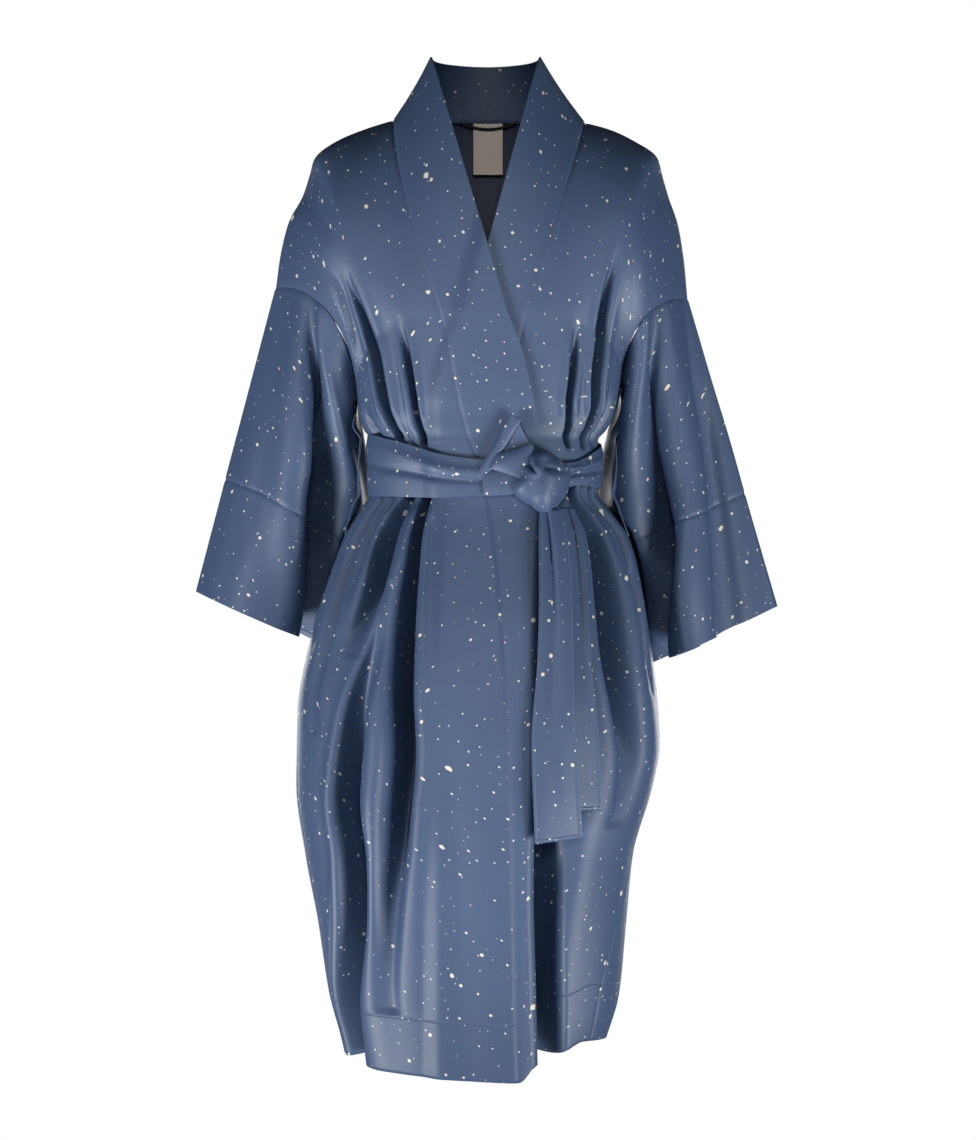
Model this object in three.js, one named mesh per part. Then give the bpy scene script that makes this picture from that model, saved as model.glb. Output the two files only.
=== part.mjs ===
// A belted kimono robe in cotton sateen, worn and filled out with no wearer.
// Millimetres, +Z up, the front faces -Y. The origin is the middle of the neck, level with the shoulders.
// The front that laps over the other ends in its band at positive x.
import * as THREE from "three";

// Driving sizes
const CLOTH_WALL = 1.6;
const BAND_WALL = 2.4;
const BELT_WALL = 2.4;
const SEAM_GAP = 0.3;
const OVERLAP_LIFT = 6;
const LIFT_RAMP = { from: -26, to: -2 };
const SINK_RAMP = { edge: 4, out: 52, hiddenFrom: -62, hiddenTo: -20 };
const BAND_HEM_RISE = 22;
const BELT_MIDDLE_Z = -411;
const BELT_PINCH = { flat: 44, full: 66 };
const OUTLINE_POWER = 0.91;

// The ring of the worn body at each height: how far it reaches to either side, to the front and to the back.
const BODY_SECTIONS = [
  { z: -1150, left: 164, right: 122, front: 122, back: 116 },
  { z: -1094, left: 177, right: 143, front: 127, back: 122 },
  { z: -1046, left: 190, right: 157, front: 130, back: 128 },
  { z: -956, left: 204, right: 166, front: 137, back: 138 },
  { z: -878, left: 219, right: 174, front: 142, back: 147 },
  { z: -794, left: 230, right: 198, front: 145, back: 156 },
  { z: -746, left: 229, right: 206, front: 145, back: 158 },
  { z: -704, left: 228, right: 204, front: 144, back: 157 },
  { z: -614, left: 211, right: 193, front: 134, back: 149 },
  { z: -530, left: 184, right: 178, front: 118, back: 129 },
  { z: -494, left: 171, right: 167, front: 109, back: 116 },
  { z: -484, left: 162, right: 156, front: 102, back: 104 },
  { z: -461, left: 139, right: 131, front: 96, back: 86 },
  { z: -371, left: 138, right: 130, front: 95, back: 86 },
  { z: -355, left: 150, right: 144, front: 98, back: 91 },
  { z: -335, left: 157, right: 157, front: 103, back: 96 },
  { z: -236, left: 170, right: 172, front: 115, back: 101 },
];

// Shoulder line from the neck over the shoulder to the top of the armhole, by its share of the way.
const SHOULDER_LINE = [
  { share: 0, left: -114, leftZ: 0, right: 117, rightZ: -3 },
  { share: 0.15, left: -146, leftZ: -10, right: 146, rightZ: -11 },
  { share: 0.3, left: -184, leftZ: -26, right: 178, rightZ: -26 },
  { share: 0.42, left: -209, leftZ: -46, right: 204, rightZ: -45 },
  { share: 0.5, left: -215, leftZ: -66, right: 210, rightZ: -66 },
  { share: 0.58, left: -223, leftZ: -90, right: 217, rightZ: -90 },
  { share: 0.72, left: -240, leftZ: -122, right: 229, rightZ: -126 },
  { share: 0.86, left: -250, leftZ: -163, right: 236, rightZ: -169 },
  { share: 1, left: -255, leftZ: -200, right: 240, rightZ: -214 },
];

// Rows of every body panel: 0 is the shoulder line, 1 the chest row, 2 the middle of the belt, 3 the hem.
const CHEST_ROW = { front: -236, back: -288, left: -335, right: -313 };
const YOKE_STEPS = 8;
const BODICE_ROWS = [1.25, 1.48, 1.66, 1.8, 2];
const SKIRT_ROWS = [2.045, 2.066, 2.1, 2.15, 2.22, 2.3, 2.38, 2.46, 2.54, 2.63, 2.72, 2.81, 2.9, 3];
const ROWS = [
  ...Array.from({ length: YOKE_STEPS + 1 }, (_, i) => i / YOKE_STEPS),
  ...BODICE_ROWS,
  ...SKIRT_ROWS,
];

// The lapping front: where its band ends, where the band is sewn on, and how far the band turns in.
const OVER_FRONT = [
  { z: -1130, edge: 52, seam: 34, turn: 36 },
  { z: -1030, edge: 50, seam: 31, turn: 40 },
  { z: -914, edge: 47, seam: 29, turn: 40 },
  { z: -797, edge: 49, seam: 26, turn: 38 },
  { z: -681, edge: 51, seam: 21, turn: 34 },
  { z: -565, edge: 54, seam: 13, turn: 26 },
  { z: -490, edge: 57, seam: 5, turn: 12 },
  { z: -446, edge: 60, seam: -3, turn: 2 },
  { z: -409, edge: 62, seam: -13, turn: 0 },
  { z: -379, edge: 60, seam: -24, turn: 0 },
  { z: -340, edge: 53, seam: -34, turn: 0 },
  { z: -283, edge: 40, seam: -45, turn: 0 },
  { z: -236, edge: 22, seam: -57, turn: 0 },
];

// The front underneath: its own band, hidden below the chest, and how deep it falls behind the lapping edge.
const UNDER_FRONT = [
  { z: -1130, edge: -52, seam: 0, sink: 48 },
  { z: -1030, edge: -52, seam: 0, sink: 52 },
  { z: -797, edge: -52, seam: 2, sink: 50 },
  { z: -681, edge: -54, seam: 4, sink: 46 },
  { z: -565, edge: -48, seam: 8, sink: 38 },
  { z: -490, edge: -44, seam: 12, sink: 22 },
  { z: -446, edge: -46, seam: 15, sink: 5 },
  { z: -409, edge: -50, seam: 17, sink: 0 },
  { z: -340, edge: -52, seam: 24, sink: 0 },
  { z: -283, edge: -38, seam: 35, sink: 0 },
  { z: -236, edge: -22, seam: 46, sink: 0 },
];

// Side seams, as angles round the body from the middle of the front.
const SIDE_SEAMS = [
  { z: -1130, left: -79, right: 56 },
  { z: -1046, left: -79, right: 52 },
  { z: -974, left: -78, right: 61 },
  { z: -890, left: -78, right: 76 },
  { z: -790, left: -80, right: 86 },
  { z: -680, left: -86, right: 90 },
  { z: -335, left: -90, right: 90 },
];

// Height of the hem round the body, by angle.
const OVER_HEM = [
  { angle: -180, z: -1110 },
  { angle: -100, z: -1114 },
  { angle: -79, z: -1122 },
  { angle: -45, z: -1115 },
  { angle: -22, z: -1110 },
  { angle: -16, z: -1122 },
  { angle: -9, z: -1126 },
  { angle: 1, z: -1118 },
  { angle: 14, z: -1100 },
  { angle: 24, z: -1075 },
];
const UNDER_HEM = [
  { angle: -40, z: -1100 },
  { angle: 20, z: -1099 },
  { angle: 45, z: -1106 },
  { angle: 56, z: -1104 },
  { angle: 80, z: -1092 },
  { angle: 120, z: -1098 },
  { angle: 180, z: -1110 },
];

// Folds: the rows where each starts, is fullest and ends, and for those rows its share across the panel,
// its half width and its depth. A negative depth stands out.
const OVER_FOLDS = [
  { row: [0.55, 1.3, 2], across: [0.6, 0.47, 0.46], half: [14, 15, 11], deep: [0, 22, 22] },
  { row: [0.85, 1.4, 2], across: [0.26, 0.25, 0.27], half: [10, 12, 10], deep: [0, 16, 18] },
  { row: [2, 2.15, 2.3], across: [0.41, 0.46, 0.52], half: [10, 14, 18], deep: [20, 24, 2] },
  { row: [2, 2.45, 2.88], across: [0.28, 0.32, 0.46], half: [10, 17, 24], deep: [22, 30, 3] },
  { row: [2.2, 2.6, 3.1], across: [0.39, 0.55, 0.8], half: [16, 21, 22], deep: [2, 20, 14] },
  { row: [2, 2.3, 2.7], across: [0.68, 0.7, 0.74], half: [10, 16, 20], deep: [16, 14, 2] },
];
const UNDER_FOLDS = [
  { row: [0.55, 1.3, 2], across: [0.44, 0.5, 0.6], half: [12, 14, 11], deep: [0, 20, 22] },
  { row: [0.85, 1.4, 2], across: [0.3, 0.34, 0.45], half: [9, 11, 10], deep: [0, 15, 18] },
  { row: [2, 2.3, 2.62], across: [0.46, 0.47, 0.6], half: [10, 17, 22], deep: [20, 28, 3] },
  { row: [2, 2.2, 2.4], across: [0.72, 0.73, 0.78], half: [10, 13, 14], deep: [16, 16, 2] },
];
const BACK_FOLDS = [
  { row: [0.8, 1.45, 2], across: [-0.66, -0.6, -0.55], half: [13, 15, 11], deep: [0, 17, 20] },
  { row: [0.6, 1.4, 2], across: [-0.3, -0.27, -0.26], half: [13, 15, 11], deep: [0, 15, 20] },
  { row: [0.7, 1.4, 2], across: [0.16, 0.18, 0.2], half: [13, 14, 11], deep: [0, 15, 20] },
  { row: [0.8, 1.45, 2], across: [0.6, 0.56, 0.52], half: [13, 15, 11], deep: [0, 17, 20] },
  { row: [2, 2.28, 2.8], across: [-0.66, -0.62, -0.66], half: [11, 18, 24], deep: [18, 24, 4] },
  { row: [2, 2.42, 3.05], across: [-0.3, -0.31, -0.36], half: [11, 19, 26], deep: [20, 28, 10] },
  { row: [2, 2.22, 2.6], across: [-0.02, -0.03, 0], half: [11, 16, 22], deep: [18, 20, 2] },
  { row: [2, 2.45, 3.05], across: [0.25, 0.28, 0.36], half: [11, 19, 26], deep: [20, 28, 12] },
  { row: [2, 2.3, 2.75], across: [0.56, 0.6, 0.64], half: [11, 18, 24], deep: [18, 23, 3] },
];

const clamp = (x, low, high) => Math.min(high, Math.max(low, x));
const mix = (a, b, t) => a + (b - a) * t;
const ease = (from, to, x) => {
  const t = clamp((x - from) / (to - from), 0, 1);
  return t * t * (3 - 2 * t);
};
const radians = (degrees) => (degrees * Math.PI) / 180;

// Reads a named column of a table at a place between its rows, along a smooth curve with no overshoot.
function read(table, key, column, place) {
  const last = table.length - 1;
  const at = clamp(place, table[0][key], table[last][key]);
  let i = 0;
  while (i < last - 1 && table[i + 1][key] < at) i++;
  const slope = (k) =>
    (table[k + 1][column] - table[k][column]) / (table[k + 1][key] - table[k][key]);
  const tangent = (k) => {
    if (k === 0 || k === last) return slope(k === 0 ? 0 : last - 1);
    const before = slope(k - 1);
    const after = slope(k);
    return before * after <= 0 ? 0 : (2 * before * after) / (before + after);
  };
  const span = table[i + 1][key] - table[i][key];
  const t = (at - table[i][key]) / span;
  const t2 = t * t;
  const t3 = t2 * t;
  return (
    (2 * t3 - 3 * t2 + 1) * table[i][column] +
    (t3 - 2 * t2 + t) * span * tangent(i) +
    (3 * t2 - 2 * t3) * table[i + 1][column] +
    (t3 - t2) * span * tangent(i + 1)
  );
}

// Value at a row between a fold's start, fullest place and end.
function along(rows, values, row) {
  if (row <= rows[1]) return mix(values[0], values[1], ease(rows[0], rows[1], row));
  return mix(values[1], values[2], ease(rows[1], rows[2], row));
}

// A point of the body's ring at an angle from the middle of the front, positive towards +X.
function ringPoint(angle, z) {
  const a = radians(angle);
  const side = read(BODY_SECTIONS, "z", Math.sin(a) < 0 ? "left" : "right", z);
  const depth = read(BODY_SECTIONS, "z", Math.cos(a) > 0 ? "front" : "back", z);
  const power = (v) => Math.sign(v) * Math.abs(v) ** OUTLINE_POWER;
  return new THREE.Vector3(side * power(Math.sin(a)), -depth * power(Math.cos(a)), z);
}

// The angle on the front of the ring at a given x.
function angleAt(x, z) {
  const side = read(BODY_SECTIONS, "z", x < 0 ? "left" : "right", z);
  const share = clamp(Math.abs(x) / side, 0, 1) ** (1 / OUTLINE_POWER);
  return (Math.sign(x) * Math.asin(share) * 180) / Math.PI;
}

// Shoulder line and the top of the collar on one side; side is "left" or "right".
function shoulderPoint(side, share) {
  return new THREE.Vector3(
    read(SHOULDER_LINE, "share", side, share),
    0,
    read(SHOULDER_LINE, "share", `${side}Z`, share),
  );
}
const COLLAR_TOP = { left: -69, right: 63, y: 2, z: 77 };
const COLLAR_BULGE = -2;
const COLLAR_STAND = { narrow: 0.012, inward: 2.4, up: 1.6 };
const COLLAR_BACK_TOP = { y: 86, z: 79 };

// The collar's section on the shoulder, from its seam (0) to its free edge (1).
function collarSide(side, up) {
  const foot = shoulderPoint(side, 0);
  const top = new THREE.Vector3(COLLAR_TOP[side], COLLAR_TOP.y, COLLAR_TOP.z);
  const out = new THREE.Vector3(Math.sign(foot.x), 0, 0.5).normalize();
  return foot.lerp(top, up).addScaledVector(out, COLLAR_BULGE * Math.sin(Math.PI * up));
}

const FRONTS = {
  over: { side: "left", table: OVER_FRONT, folds: OVER_FOLDS, hem: OVER_HEM, seamPower: 1.5 },
  under: { side: "right", table: UNDER_FRONT, folds: UNDER_FOLDS, hem: UNDER_HEM, seamPower: 1.05 },
};
const ARMHOLE_BULGE = { front: -58, back: 56 };
const ARMHOLE_STEP = 3;

// Height of a row: chest row to belt, then belt to hem.
function rowHeight(row, chestZ, hemZ) {
  return row <= 2 ? mix(chestZ, BELT_MIDDLE_Z, row - 1) : mix(BELT_MIDDLE_Z, hemZ, row - 2);
}

// The lapping front is lifted off the one underneath wherever there is one.
function lift(x, z) {
  const chestEdge = read(UNDER_FRONT, "z", "edge", CHEST_ROW.front);
  const upShare = (z - CHEST_ROW.front) / (COLLAR_TOP.z - CHEST_ROW.front);
  const underEdge =
    z > CHEST_ROW.front ? mix(chestEdge, COLLAR_TOP.right, upShare) : read(UNDER_FRONT, "z", "edge", z);
  return OVERLAP_LIFT * ease(underEdge + LIFT_RAMP.from, underEdge + LIFT_RAMP.to, x);
}

// The front underneath sinks back behind the edge that laps over it, and comes out again past it.
function sink(x, z) {
  const deep = read(UNDER_FRONT, "z", "sink", z);
  const edge = read(OVER_FRONT, "z", "edge", z);
  const comesOut = ease(edge + SINK_RAMP.edge, edge + SINK_RAMP.out, x);
  return deep * (1 - comesOut) * ease(SINK_RAMP.hiddenFrom, SINK_RAMP.hiddenTo, x);
}

// One half of the front: across runs from the free edge (-1) over the band's seam (0) to the side seam (1).
function frontBase(front, across, row) {
  const { side, table, seamPower } = FRONTS[front];
  const outward = Math.max(across, 0);
  const chestZ = mix(CHEST_ROW.front, CHEST_ROW[side], outward ** 1.5);
  const lowRow = Math.max(row, 1);
  let z = chestZ;
  let angle = 0;
  let turn = 0;
  for (const pass of [0, 1]) {
    const seamAngle = angleAt(read(table, "z", "seam", z), z);
    const edgeAngle = angleAt(read(table, "z", "edge", z), z);
    angle = mix(seamAngle, read(SIDE_SEAMS, "z", side, z), outward);
    if (across < 0) {
      const inTurn = front === "over" ? read(table, "z", "turn", z) : 0;
      const seen = inTurn > 1 ? 1 - inTurn / 90 : 1;
      angle = mix(seamAngle, edgeAngle, Math.min(1, -across / seen));
      turn = inTurn * Math.max(0, (-across - seen) / (1 - seen + 1e-6));
    }
    if (pass === 0) {
      const hemZ = read(FRONTS[front].hem, "angle", "z", angle);
      const lifted = front === "over" ? BAND_HEM_RISE * ease(0, -1, across) : 0;
      z = rowHeight(lowRow, chestZ, hemZ + lifted);
    }
  }
  const low = ringPoint(angle, z);
  low.y += turn;
  low.x -= turn * 0.12;
  if (row >= 1) return low;
  const top = across < 0 ? collarSide(side, -across) : shoulderPoint(side, across);
  const swing = (row * Math.PI) / 2;
  const fall = 1 - Math.cos(swing);
  const inner = fall ** mix(seamPower, 1, Math.max(-across, 0));
  const bulge = ARMHOLE_BULGE.front * ease(0, 1, outward) * Math.sin(Math.PI * row);
  return new THREE.Vector3(
    mix(top.x, low.x, mix(inner, Math.sin(swing), ease(0, 1, outward))),
    mix(top.y, low.y, Math.sin(swing)) + bulge,
    mix(top.z, low.z, fall),
  );
}

// The back: across runs from the left side (-1) over the middle of the back (0) to the right side (1).
const NECK_SHARE = 0.22;
const NECK_SHARE_BELOW = 0.34;
const BACK_NECK = { y: 76, z: 9 };
function neckSeam(turn) {
  const side = turn < 0 ? "left" : "right";
  const foot = shoulderPoint(side, 0);
  const a = (Math.abs(turn) * Math.PI) / 2;
  return new THREE.Vector3(
    foot.x * Math.sin(a),
    BACK_NECK.y * Math.cos(a) ** 0.8,
    mix(BACK_NECK.z, foot.z, 1 - Math.cos(a) ** 1.2),
  );
}
function backBase(across, row) {
  const side = across < 0 ? "left" : "right";
  const away = Math.abs(across);
  const beyond = Math.max(0, (away - NECK_SHARE) / (1 - NECK_SHARE));
  const below = away < NECK_SHARE ? (away / NECK_SHARE) * NECK_SHARE_BELOW : mix(NECK_SHARE_BELOW, 1, beyond);
  const chestZ = mix(CHEST_ROW.back, CHEST_ROW[side], below ** 2);
  const lowRow = Math.max(row, 1);
  let z = chestZ;
  let angle = 180;
  for (const pass of [0, 1]) {
    const seam = read(SIDE_SEAMS, "z", side, z);
    angle = across < 0 ? mix(-180, seam, below) : mix(180, seam, below);
    if (pass === 0) {
      const hemZ = read(across < 0 ? OVER_HEM : UNDER_HEM, "angle", "z", angle);
      z = rowHeight(lowRow, chestZ, hemZ);
    }
  }
  const low = ringPoint(angle, z);
  if (row >= 1) return low;
  const top =
    away < NECK_SHARE ? neckSeam(across / NECK_SHARE) : shoulderPoint(side, beyond);
  const swing = (row * Math.PI) / 2;
  const fall = 1 - Math.cos(swing);
  const bulge = ARMHOLE_BULGE.back * ease(0, 1, beyond) * Math.sin(Math.PI * row);
  return new THREE.Vector3(
    mix(top.x, low.x, mix(fall ** 1.2, Math.sin(swing), ease(0, 1, beyond))),
    mix(top.y, low.y, Math.sin(swing)) + bulge,
    mix(top.z, low.z, fall),
  );
}

// The outward normal of a surface, from small steps along it.
function normalOf(surface, u, v, uRange, vRange, flip) {
  const step = 1e-3;
  const du = surface(clamp(u + step, ...uRange), v).sub(surface(clamp(u - step, ...uRange), v));
  const dv = surface(u, clamp(v + step, ...vRange)).sub(surface(u, clamp(v - step, ...vRange)));
  return du.cross(dv).normalize().multiplyScalar(flip);
}

// Depth of all folds at a place: rounded troughs with a soft ridge on either side, pressed flat under the belt.
function foldDepth(folds, surface, across, row) {
  const here = surface(across, row);
  let total = 0;
  for (const fold of folds) {
    if (row < fold.row[0] || row > fold.row[2]) continue;
    const line = surface(along(fold.row, fold.across, row), row);
    const away = here.distanceTo(line) / along(fold.row, fold.half, row);
    const trough = Math.exp(-away * away) - 0.3 * Math.exp(-((away - 2) ** 2) / 0.7);
    total += along(fold.row, fold.deep, row) * trough;
  }
  return total * ease(BELT_PINCH.flat, BELT_PINCH.full, Math.abs(here.z - BELT_MIDDLE_Z));
}

const SIDE_FADE = { from: 0.84, to: 1 };
const sideFade = (share) => 1 - ease(SIDE_FADE.from, SIDE_FADE.to, share);

function frontSurface(front) {
  const base = (across, row) => frontBase(front, across, row);
  const flip = front === "over" ? 1 : -1;
  return (across, row) => {
    const p = base(across, row);
    const n = normalOf(base, across, row, [-1, 1], [0, 3], flip);
    const folds = foldDepth(FRONTS[front].folds, base, across, row) * sideFade(across);
    p.addScaledVector(n, (front === "over" ? lift(p.x, p.z) : 0) - folds);
    if (front === "under" && row > 1) p.y += sink(p.x, p.z);
    return p;
  };
}
function backSurface(across, row) {
  const p = backBase(across, row);
  const n = normalOf(backBase, across, row, [-1, 1], [0, 3], 1);
  const folds = foldDepth(BACK_FOLDS, backBase, across, row) * sideFade(Math.abs(across));
  return p.addScaledVector(n, -folds);
}

// The collar round the back of the neck: turn runs from the left shoulder (-1) to the right (1), up to its edge.
function collarSurface(turn, up) {
  const side = turn < 0 ? "left" : "right";
  const away = (Math.abs(turn) * Math.PI) / 2;
  const seam = neckSeam(turn);
  const stand = 1 - Math.abs(turn) ** 4;
  seam.x *= 1 - COLLAR_STAND.narrow * stand;
  seam.y -= COLLAR_STAND.inward * stand;
  seam.z += COLLAR_STAND.up * stand;
  const ends = collarSide(side, up).sub(collarSide(side, 0));
  const middle = new THREE.Vector3(0, COLLAR_BACK_TOP.y - BACK_NECK.y, COLLAR_BACK_TOP.z - BACK_NECK.z);
  const rise = middle.multiplyScalar(up).lerp(ends, Math.sin(away) ** 1.6);
  return seam.add(rise);
}

// Each sleeve hangs from the armhole to its hem. Rows run round the hem from the outer fold over the front to
// the inner fold (0.5) and back: place in plan, and the armhole's place above it, 0 at its top, 1 at its foot.
const SLEEVES = {
  left: {
    hem: { outerZ: -565, slope: -0.43 },
    pull: { x: 14, y: 14 },
    ring: [
      { round: 0, x: -354, y: 38, arm: 0 },
      { round: 0.08, x: -330, y: 6, arm: 0.1 },
      { round: 0.2, x: -292, y: -16, arm: 0.32 },
      { round: 0.3, x: -252, y: -8, arm: 0.56 },
      { round: 0.38, x: -226, y: 30, arm: 0.74 },
      { round: 0.45, x: -206, y: 72, arm: 0.9 },
      { round: 0.5, x: -188, y: 110, arm: 1 },
      { round: 0.57, x: -212, y: 136, arm: 1.12 },
      { round: 0.7, x: -262, y: 142, arm: 1.36 },
      { round: 0.86, x: -322, y: 112, arm: 1.72 },
      { round: 1, x: -354, y: 38, arm: 2 },
    ],
    folds: [
      { row: [0, 0.45, 1.1], across: [0.24, 0.35, 0.38], half: [20, 23, 22], deep: [0, 24, 16] },
      { row: [0, 0.5, 1.1], across: [0.76, 0.76, 0.75], half: [20, 24, 26], deep: [0, 16, 12] },
    ],
  },
  right: {
    hem: { outerZ: -583, slope: 0.45 },
    pull: { x: -16, y: 14 },
    ring: [
      { round: 0, x: 352, y: 52, arm: 0 },
      { round: 0.09, x: 308, y: 28, arm: 0.02 },
      { round: 0.16, x: 266, y: 14, arm: 0.05 },
      { round: 0.2, x: 271, y: -16, arm: 0.08 },
      { round: 0.27, x: 246, y: -34, arm: 0.3 },
      { round: 0.35, x: 219, y: -8, arm: 0.55 },
      { round: 0.43, x: 202, y: 50, arm: 0.82 },
      { round: 0.5, x: 184, y: 108, arm: 1 },
      { round: 0.58, x: 218, y: 140, arm: 1.12 },
      { round: 0.72, x: 276, y: 144, arm: 1.38 },
      { round: 0.88, x: 330, y: 112, arm: 1.76 },
      { round: 1, x: 352, y: 52, arm: 2 },
    ],
    folds: [
      { row: [0, 0.45, 1.1], across: [0.34, 0.34, 0.37], half: [19, 20, 20], deep: [0, 22, 12] },
      { row: [0, 0.5, 1.1], across: [0.74, 0.75, 0.76], half: [20, 24, 26], deep: [0, 16, 12] },
    ],
  },
};
const SLEEVE_START = 0.005;
const CUFF_SHARE = 0.63;
const SLEEVE_CLEAR = 11;

// How far to the side the body's ring reaches at a given depth and height.
function sideReach(side, y, z) {
  const depth = read(BODY_SECTIONS, "z", y < 0 ? "front" : "back", z);
  const cosine = clamp(Math.abs(y) / depth, 0, 1) ** (1 / OUTLINE_POWER);
  return read(BODY_SECTIONS, "z", side, z) * Math.sqrt(1 - cosine * cosine) ** OUTLINE_POWER;
}

function armholePoint(side, arm) {
  const across = side === "left" ? -1 : 1;
  if (arm > 1) return backBase(across, 2 - arm);
  return frontBase(side === "left" ? "over" : "under", 1, arm);
}
function sleeveBase(side) {
  const { hem, ring, pull } = SLEEVES[side];
  return (round, down) => {
    const place = ((round % 1) + 1) % 1;
    const x = read(ring, "round", "x", place);
    const low = new THREE.Vector3(x, read(ring, "round", "y", place), hem.outerZ + hem.slope * (x - ring[0].x));
    const p = armholePoint(side, read(ring, "round", "arm", place)).lerp(low, down);
    const inner = Math.exp(-(((place - 0.5) / 0.16) ** 2)) * Math.sin(Math.PI * Math.min(down, 1));
    p.x += pull.x * inner;
    p.y += pull.y * inner;
    const outward = side === "left" ? -1 : 1;
    p.x += outward * ARMHOLE_STEP * ease(0.08, 0.36, 0.5 - Math.abs(place - 0.5));
    return clearOfBody(side, p, down);
  };
}

// Holds a point of the sleeve off the body beside it.
function clearOfBody(side, p, down) {
  const outward = side === "left" ? -1 : 1;
  const clear = sideReach(side, p.y, p.z) + SLEEVE_CLEAR * ease(0, 0.12, down);
  const tight = 1 - ease(CHEST_ROW[side] - 12, CHEST_ROW[side], p.z);
  p.x = outward * mix(Math.abs(p.x), Math.max(Math.abs(p.x), clear), tight);
  return p;
}
function sleeveSurface(side) {
  const base = sleeveBase(side);
  const flip = side === "left" ? -1 : 1;
  return (round, down) => {
    const p = base(round, down);
    const n = normalOf(base, round, down, [-1, 2], [0, 1], flip);
    p.addScaledVector(n, -foldDepth(SLEEVES[side].folds, base, ((round % 1) + 1) % 1, down));
    return clearOfBody(side, p, down);
  };
}

// A closed body from a grid of outer points and one of inner points; a loop joins its last column to its first.
function bodyOf(name, outer, inner, loop, finish) {
  const rows = outer.length;
  const columns = outer[0].length;
  const points = [...outer.flat(), ...inner.flat()];
  const half = rows * columns;
  const index = [];
  const at = (i, j) => i * columns + (j % columns);
  const quad = (a, b, c, d) => {
    const first = points[a].distanceTo(points[c]) <= points[b].distanceTo(points[d]);
    if (first) index.push(a, b, c, a, c, d);
    else index.push(a, b, d, b, c, d);
  };
  const lastColumn = loop ? columns : columns - 1;
  for (let i = 0; i < rows - 1; i++) {
    for (let j = 0; j < lastColumn; j++) {
      const [a, b, c, d] = [at(i, j), at(i, j + 1), at(i + 1, j + 1), at(i + 1, j)];
      quad(a, b, c, d);
      quad(half + a, half + d, half + c, half + b);
    }
  }
  for (let j = 0; j < lastColumn; j++) {
    quad(at(0, j), half + at(0, j), half + at(0, j + 1), at(0, j + 1));
    quad(at(rows - 1, j + 1), half + at(rows - 1, j + 1), half + at(rows - 1, j), at(rows - 1, j));
  }
  if (!loop) {
    const end = columns - 1;
    for (let i = 0; i < rows - 1; i++) {
      quad(at(i + 1, 0), half + at(i + 1, 0), half + at(i, 0), at(i, 0));
      quad(at(i, end), half + at(i, end), half + at(i + 1, end), at(i + 1, end));
    }
  }
  return meshOf(name, points, index, finish);
}

function signedVolume(points, index) {
  let sum = 0;
  for (let k = 0; k < index.length; k += 3) {
    const [a, b, c] = [points[index[k]], points[index[k + 1]], points[index[k + 2]]];
    sum += a.dot(b.clone().cross(c));
  }
  return sum;
}

const FINISH = {
  sateen: { color: "#3d5273", roughness: 0.42 },
  label: { color: "#c4ad97", roughness: 0.8 },
  tape: { color: "#14161c", roughness: 0.7 },
};
function meshOf(name, points, index, finish = "sateen") {
  const faces = index.slice();
  if (signedVolume(points, faces) < 0) faces.reverse();
  const geometry = new THREE.BufferGeometry();
  const flat = points.flatMap((p) => [p.x, p.y, p.z]);
  geometry.setAttribute("position", new THREE.Float32BufferAttribute(flat, 3));
  geometry.setIndex(faces);
  geometry.computeVertexNormals();
  const material = new THREE.MeshStandardMaterial({ ...FINISH[finish], metalness: 0 });
  const mesh = new THREE.Mesh(geometry, material);
  mesh.name = name;
  return mesh;
}

// Moves the outer lines of a grid in by half the seam gap, so that neighbours stay apart.
function trim(grid, edges) {
  const half = SEAM_GAP / 2;
  const pull = (from, to) => from.addScaledVector(to.clone().sub(from).normalize(), half);
  const rows = grid.length;
  const columns = grid[0].length;
  const column = (j, k) => grid.forEach((line) => pull(line[j], line[k]));
  const line = (i, k) => grid[i].forEach((p, j) => pull(p, grid[k][j]));
  if (edges.includes("top")) line(0, 1);
  if (edges.includes("bottom")) line(rows - 1, rows - 2);
  if (edges.includes("start")) column(0, 1);
  if (edges.includes("end")) column(columns - 1, columns - 2);
  return grid;
}

// A cloth wall on a surface: its outer points, trimmed at its seams, and its inner points behind them.
// Along a shoulder seam the wall stands square to the seam's plane.
function panel(name, surface, shares, rows, options) {
  const { flip, uRange = [-1, 1], vRange = [0, 3], wall = CLOTH_WALL, edges = [], loop = false } = options;
  const { squareTop = false, finish = "sateen" } = options;
  const normals = rows.map((row) => shares.map((share) => normalOf(surface, share, row, uRange, vRange, flip)));
  if (squareTop) {
    normals[0].forEach((n, j) => Math.abs(shares[j]) >= squareTop && n.setY(0).normalize());
  }
  const outer = trim(rows.map((row) => shares.map((share) => surface(share, row))), edges);
  const inner = outer.map((line, i) => line.map((p, j) => p.clone().addScaledVector(normals[i][j], -wall)));
  return bodyOf(name, outer, inner, loop, finish);
}

const steps = (from, to, count) => Array.from({ length: count + 1 }, (_, i) => mix(from, to, i / count));
const FRONT_SHARES = steps(0, 1, 15);
const BAND_SHARES = { over: [-1, -0.8, -0.62, -0.4, -0.2, 0], under: [-1, -0.5, 0] };
const NODE_SIDE = { over: "right", under: "left" };

const robe = new THREE.Group();

// The two fronts and their bands. The names give the wearer's sides.
for (const front of ["over", "under"]) {
  const surface = frontSurface(front);
  const flip = front === "over" ? 1 : -1;
  const side = NODE_SIDE[front];
  const cloth = { flip, squareTop: 0.001, edges: ["top", "start", "end"] };
  robe.add(panel(`front_${side}`, surface, FRONT_SHARES, ROWS, cloth));
  const band = { flip, squareTop: 0.001, edges: ["top", "end"], wall: BAND_WALL };
  robe.add(panel(`band_${side}`, surface, BAND_SHARES[front], ROWS, band));
}

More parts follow.
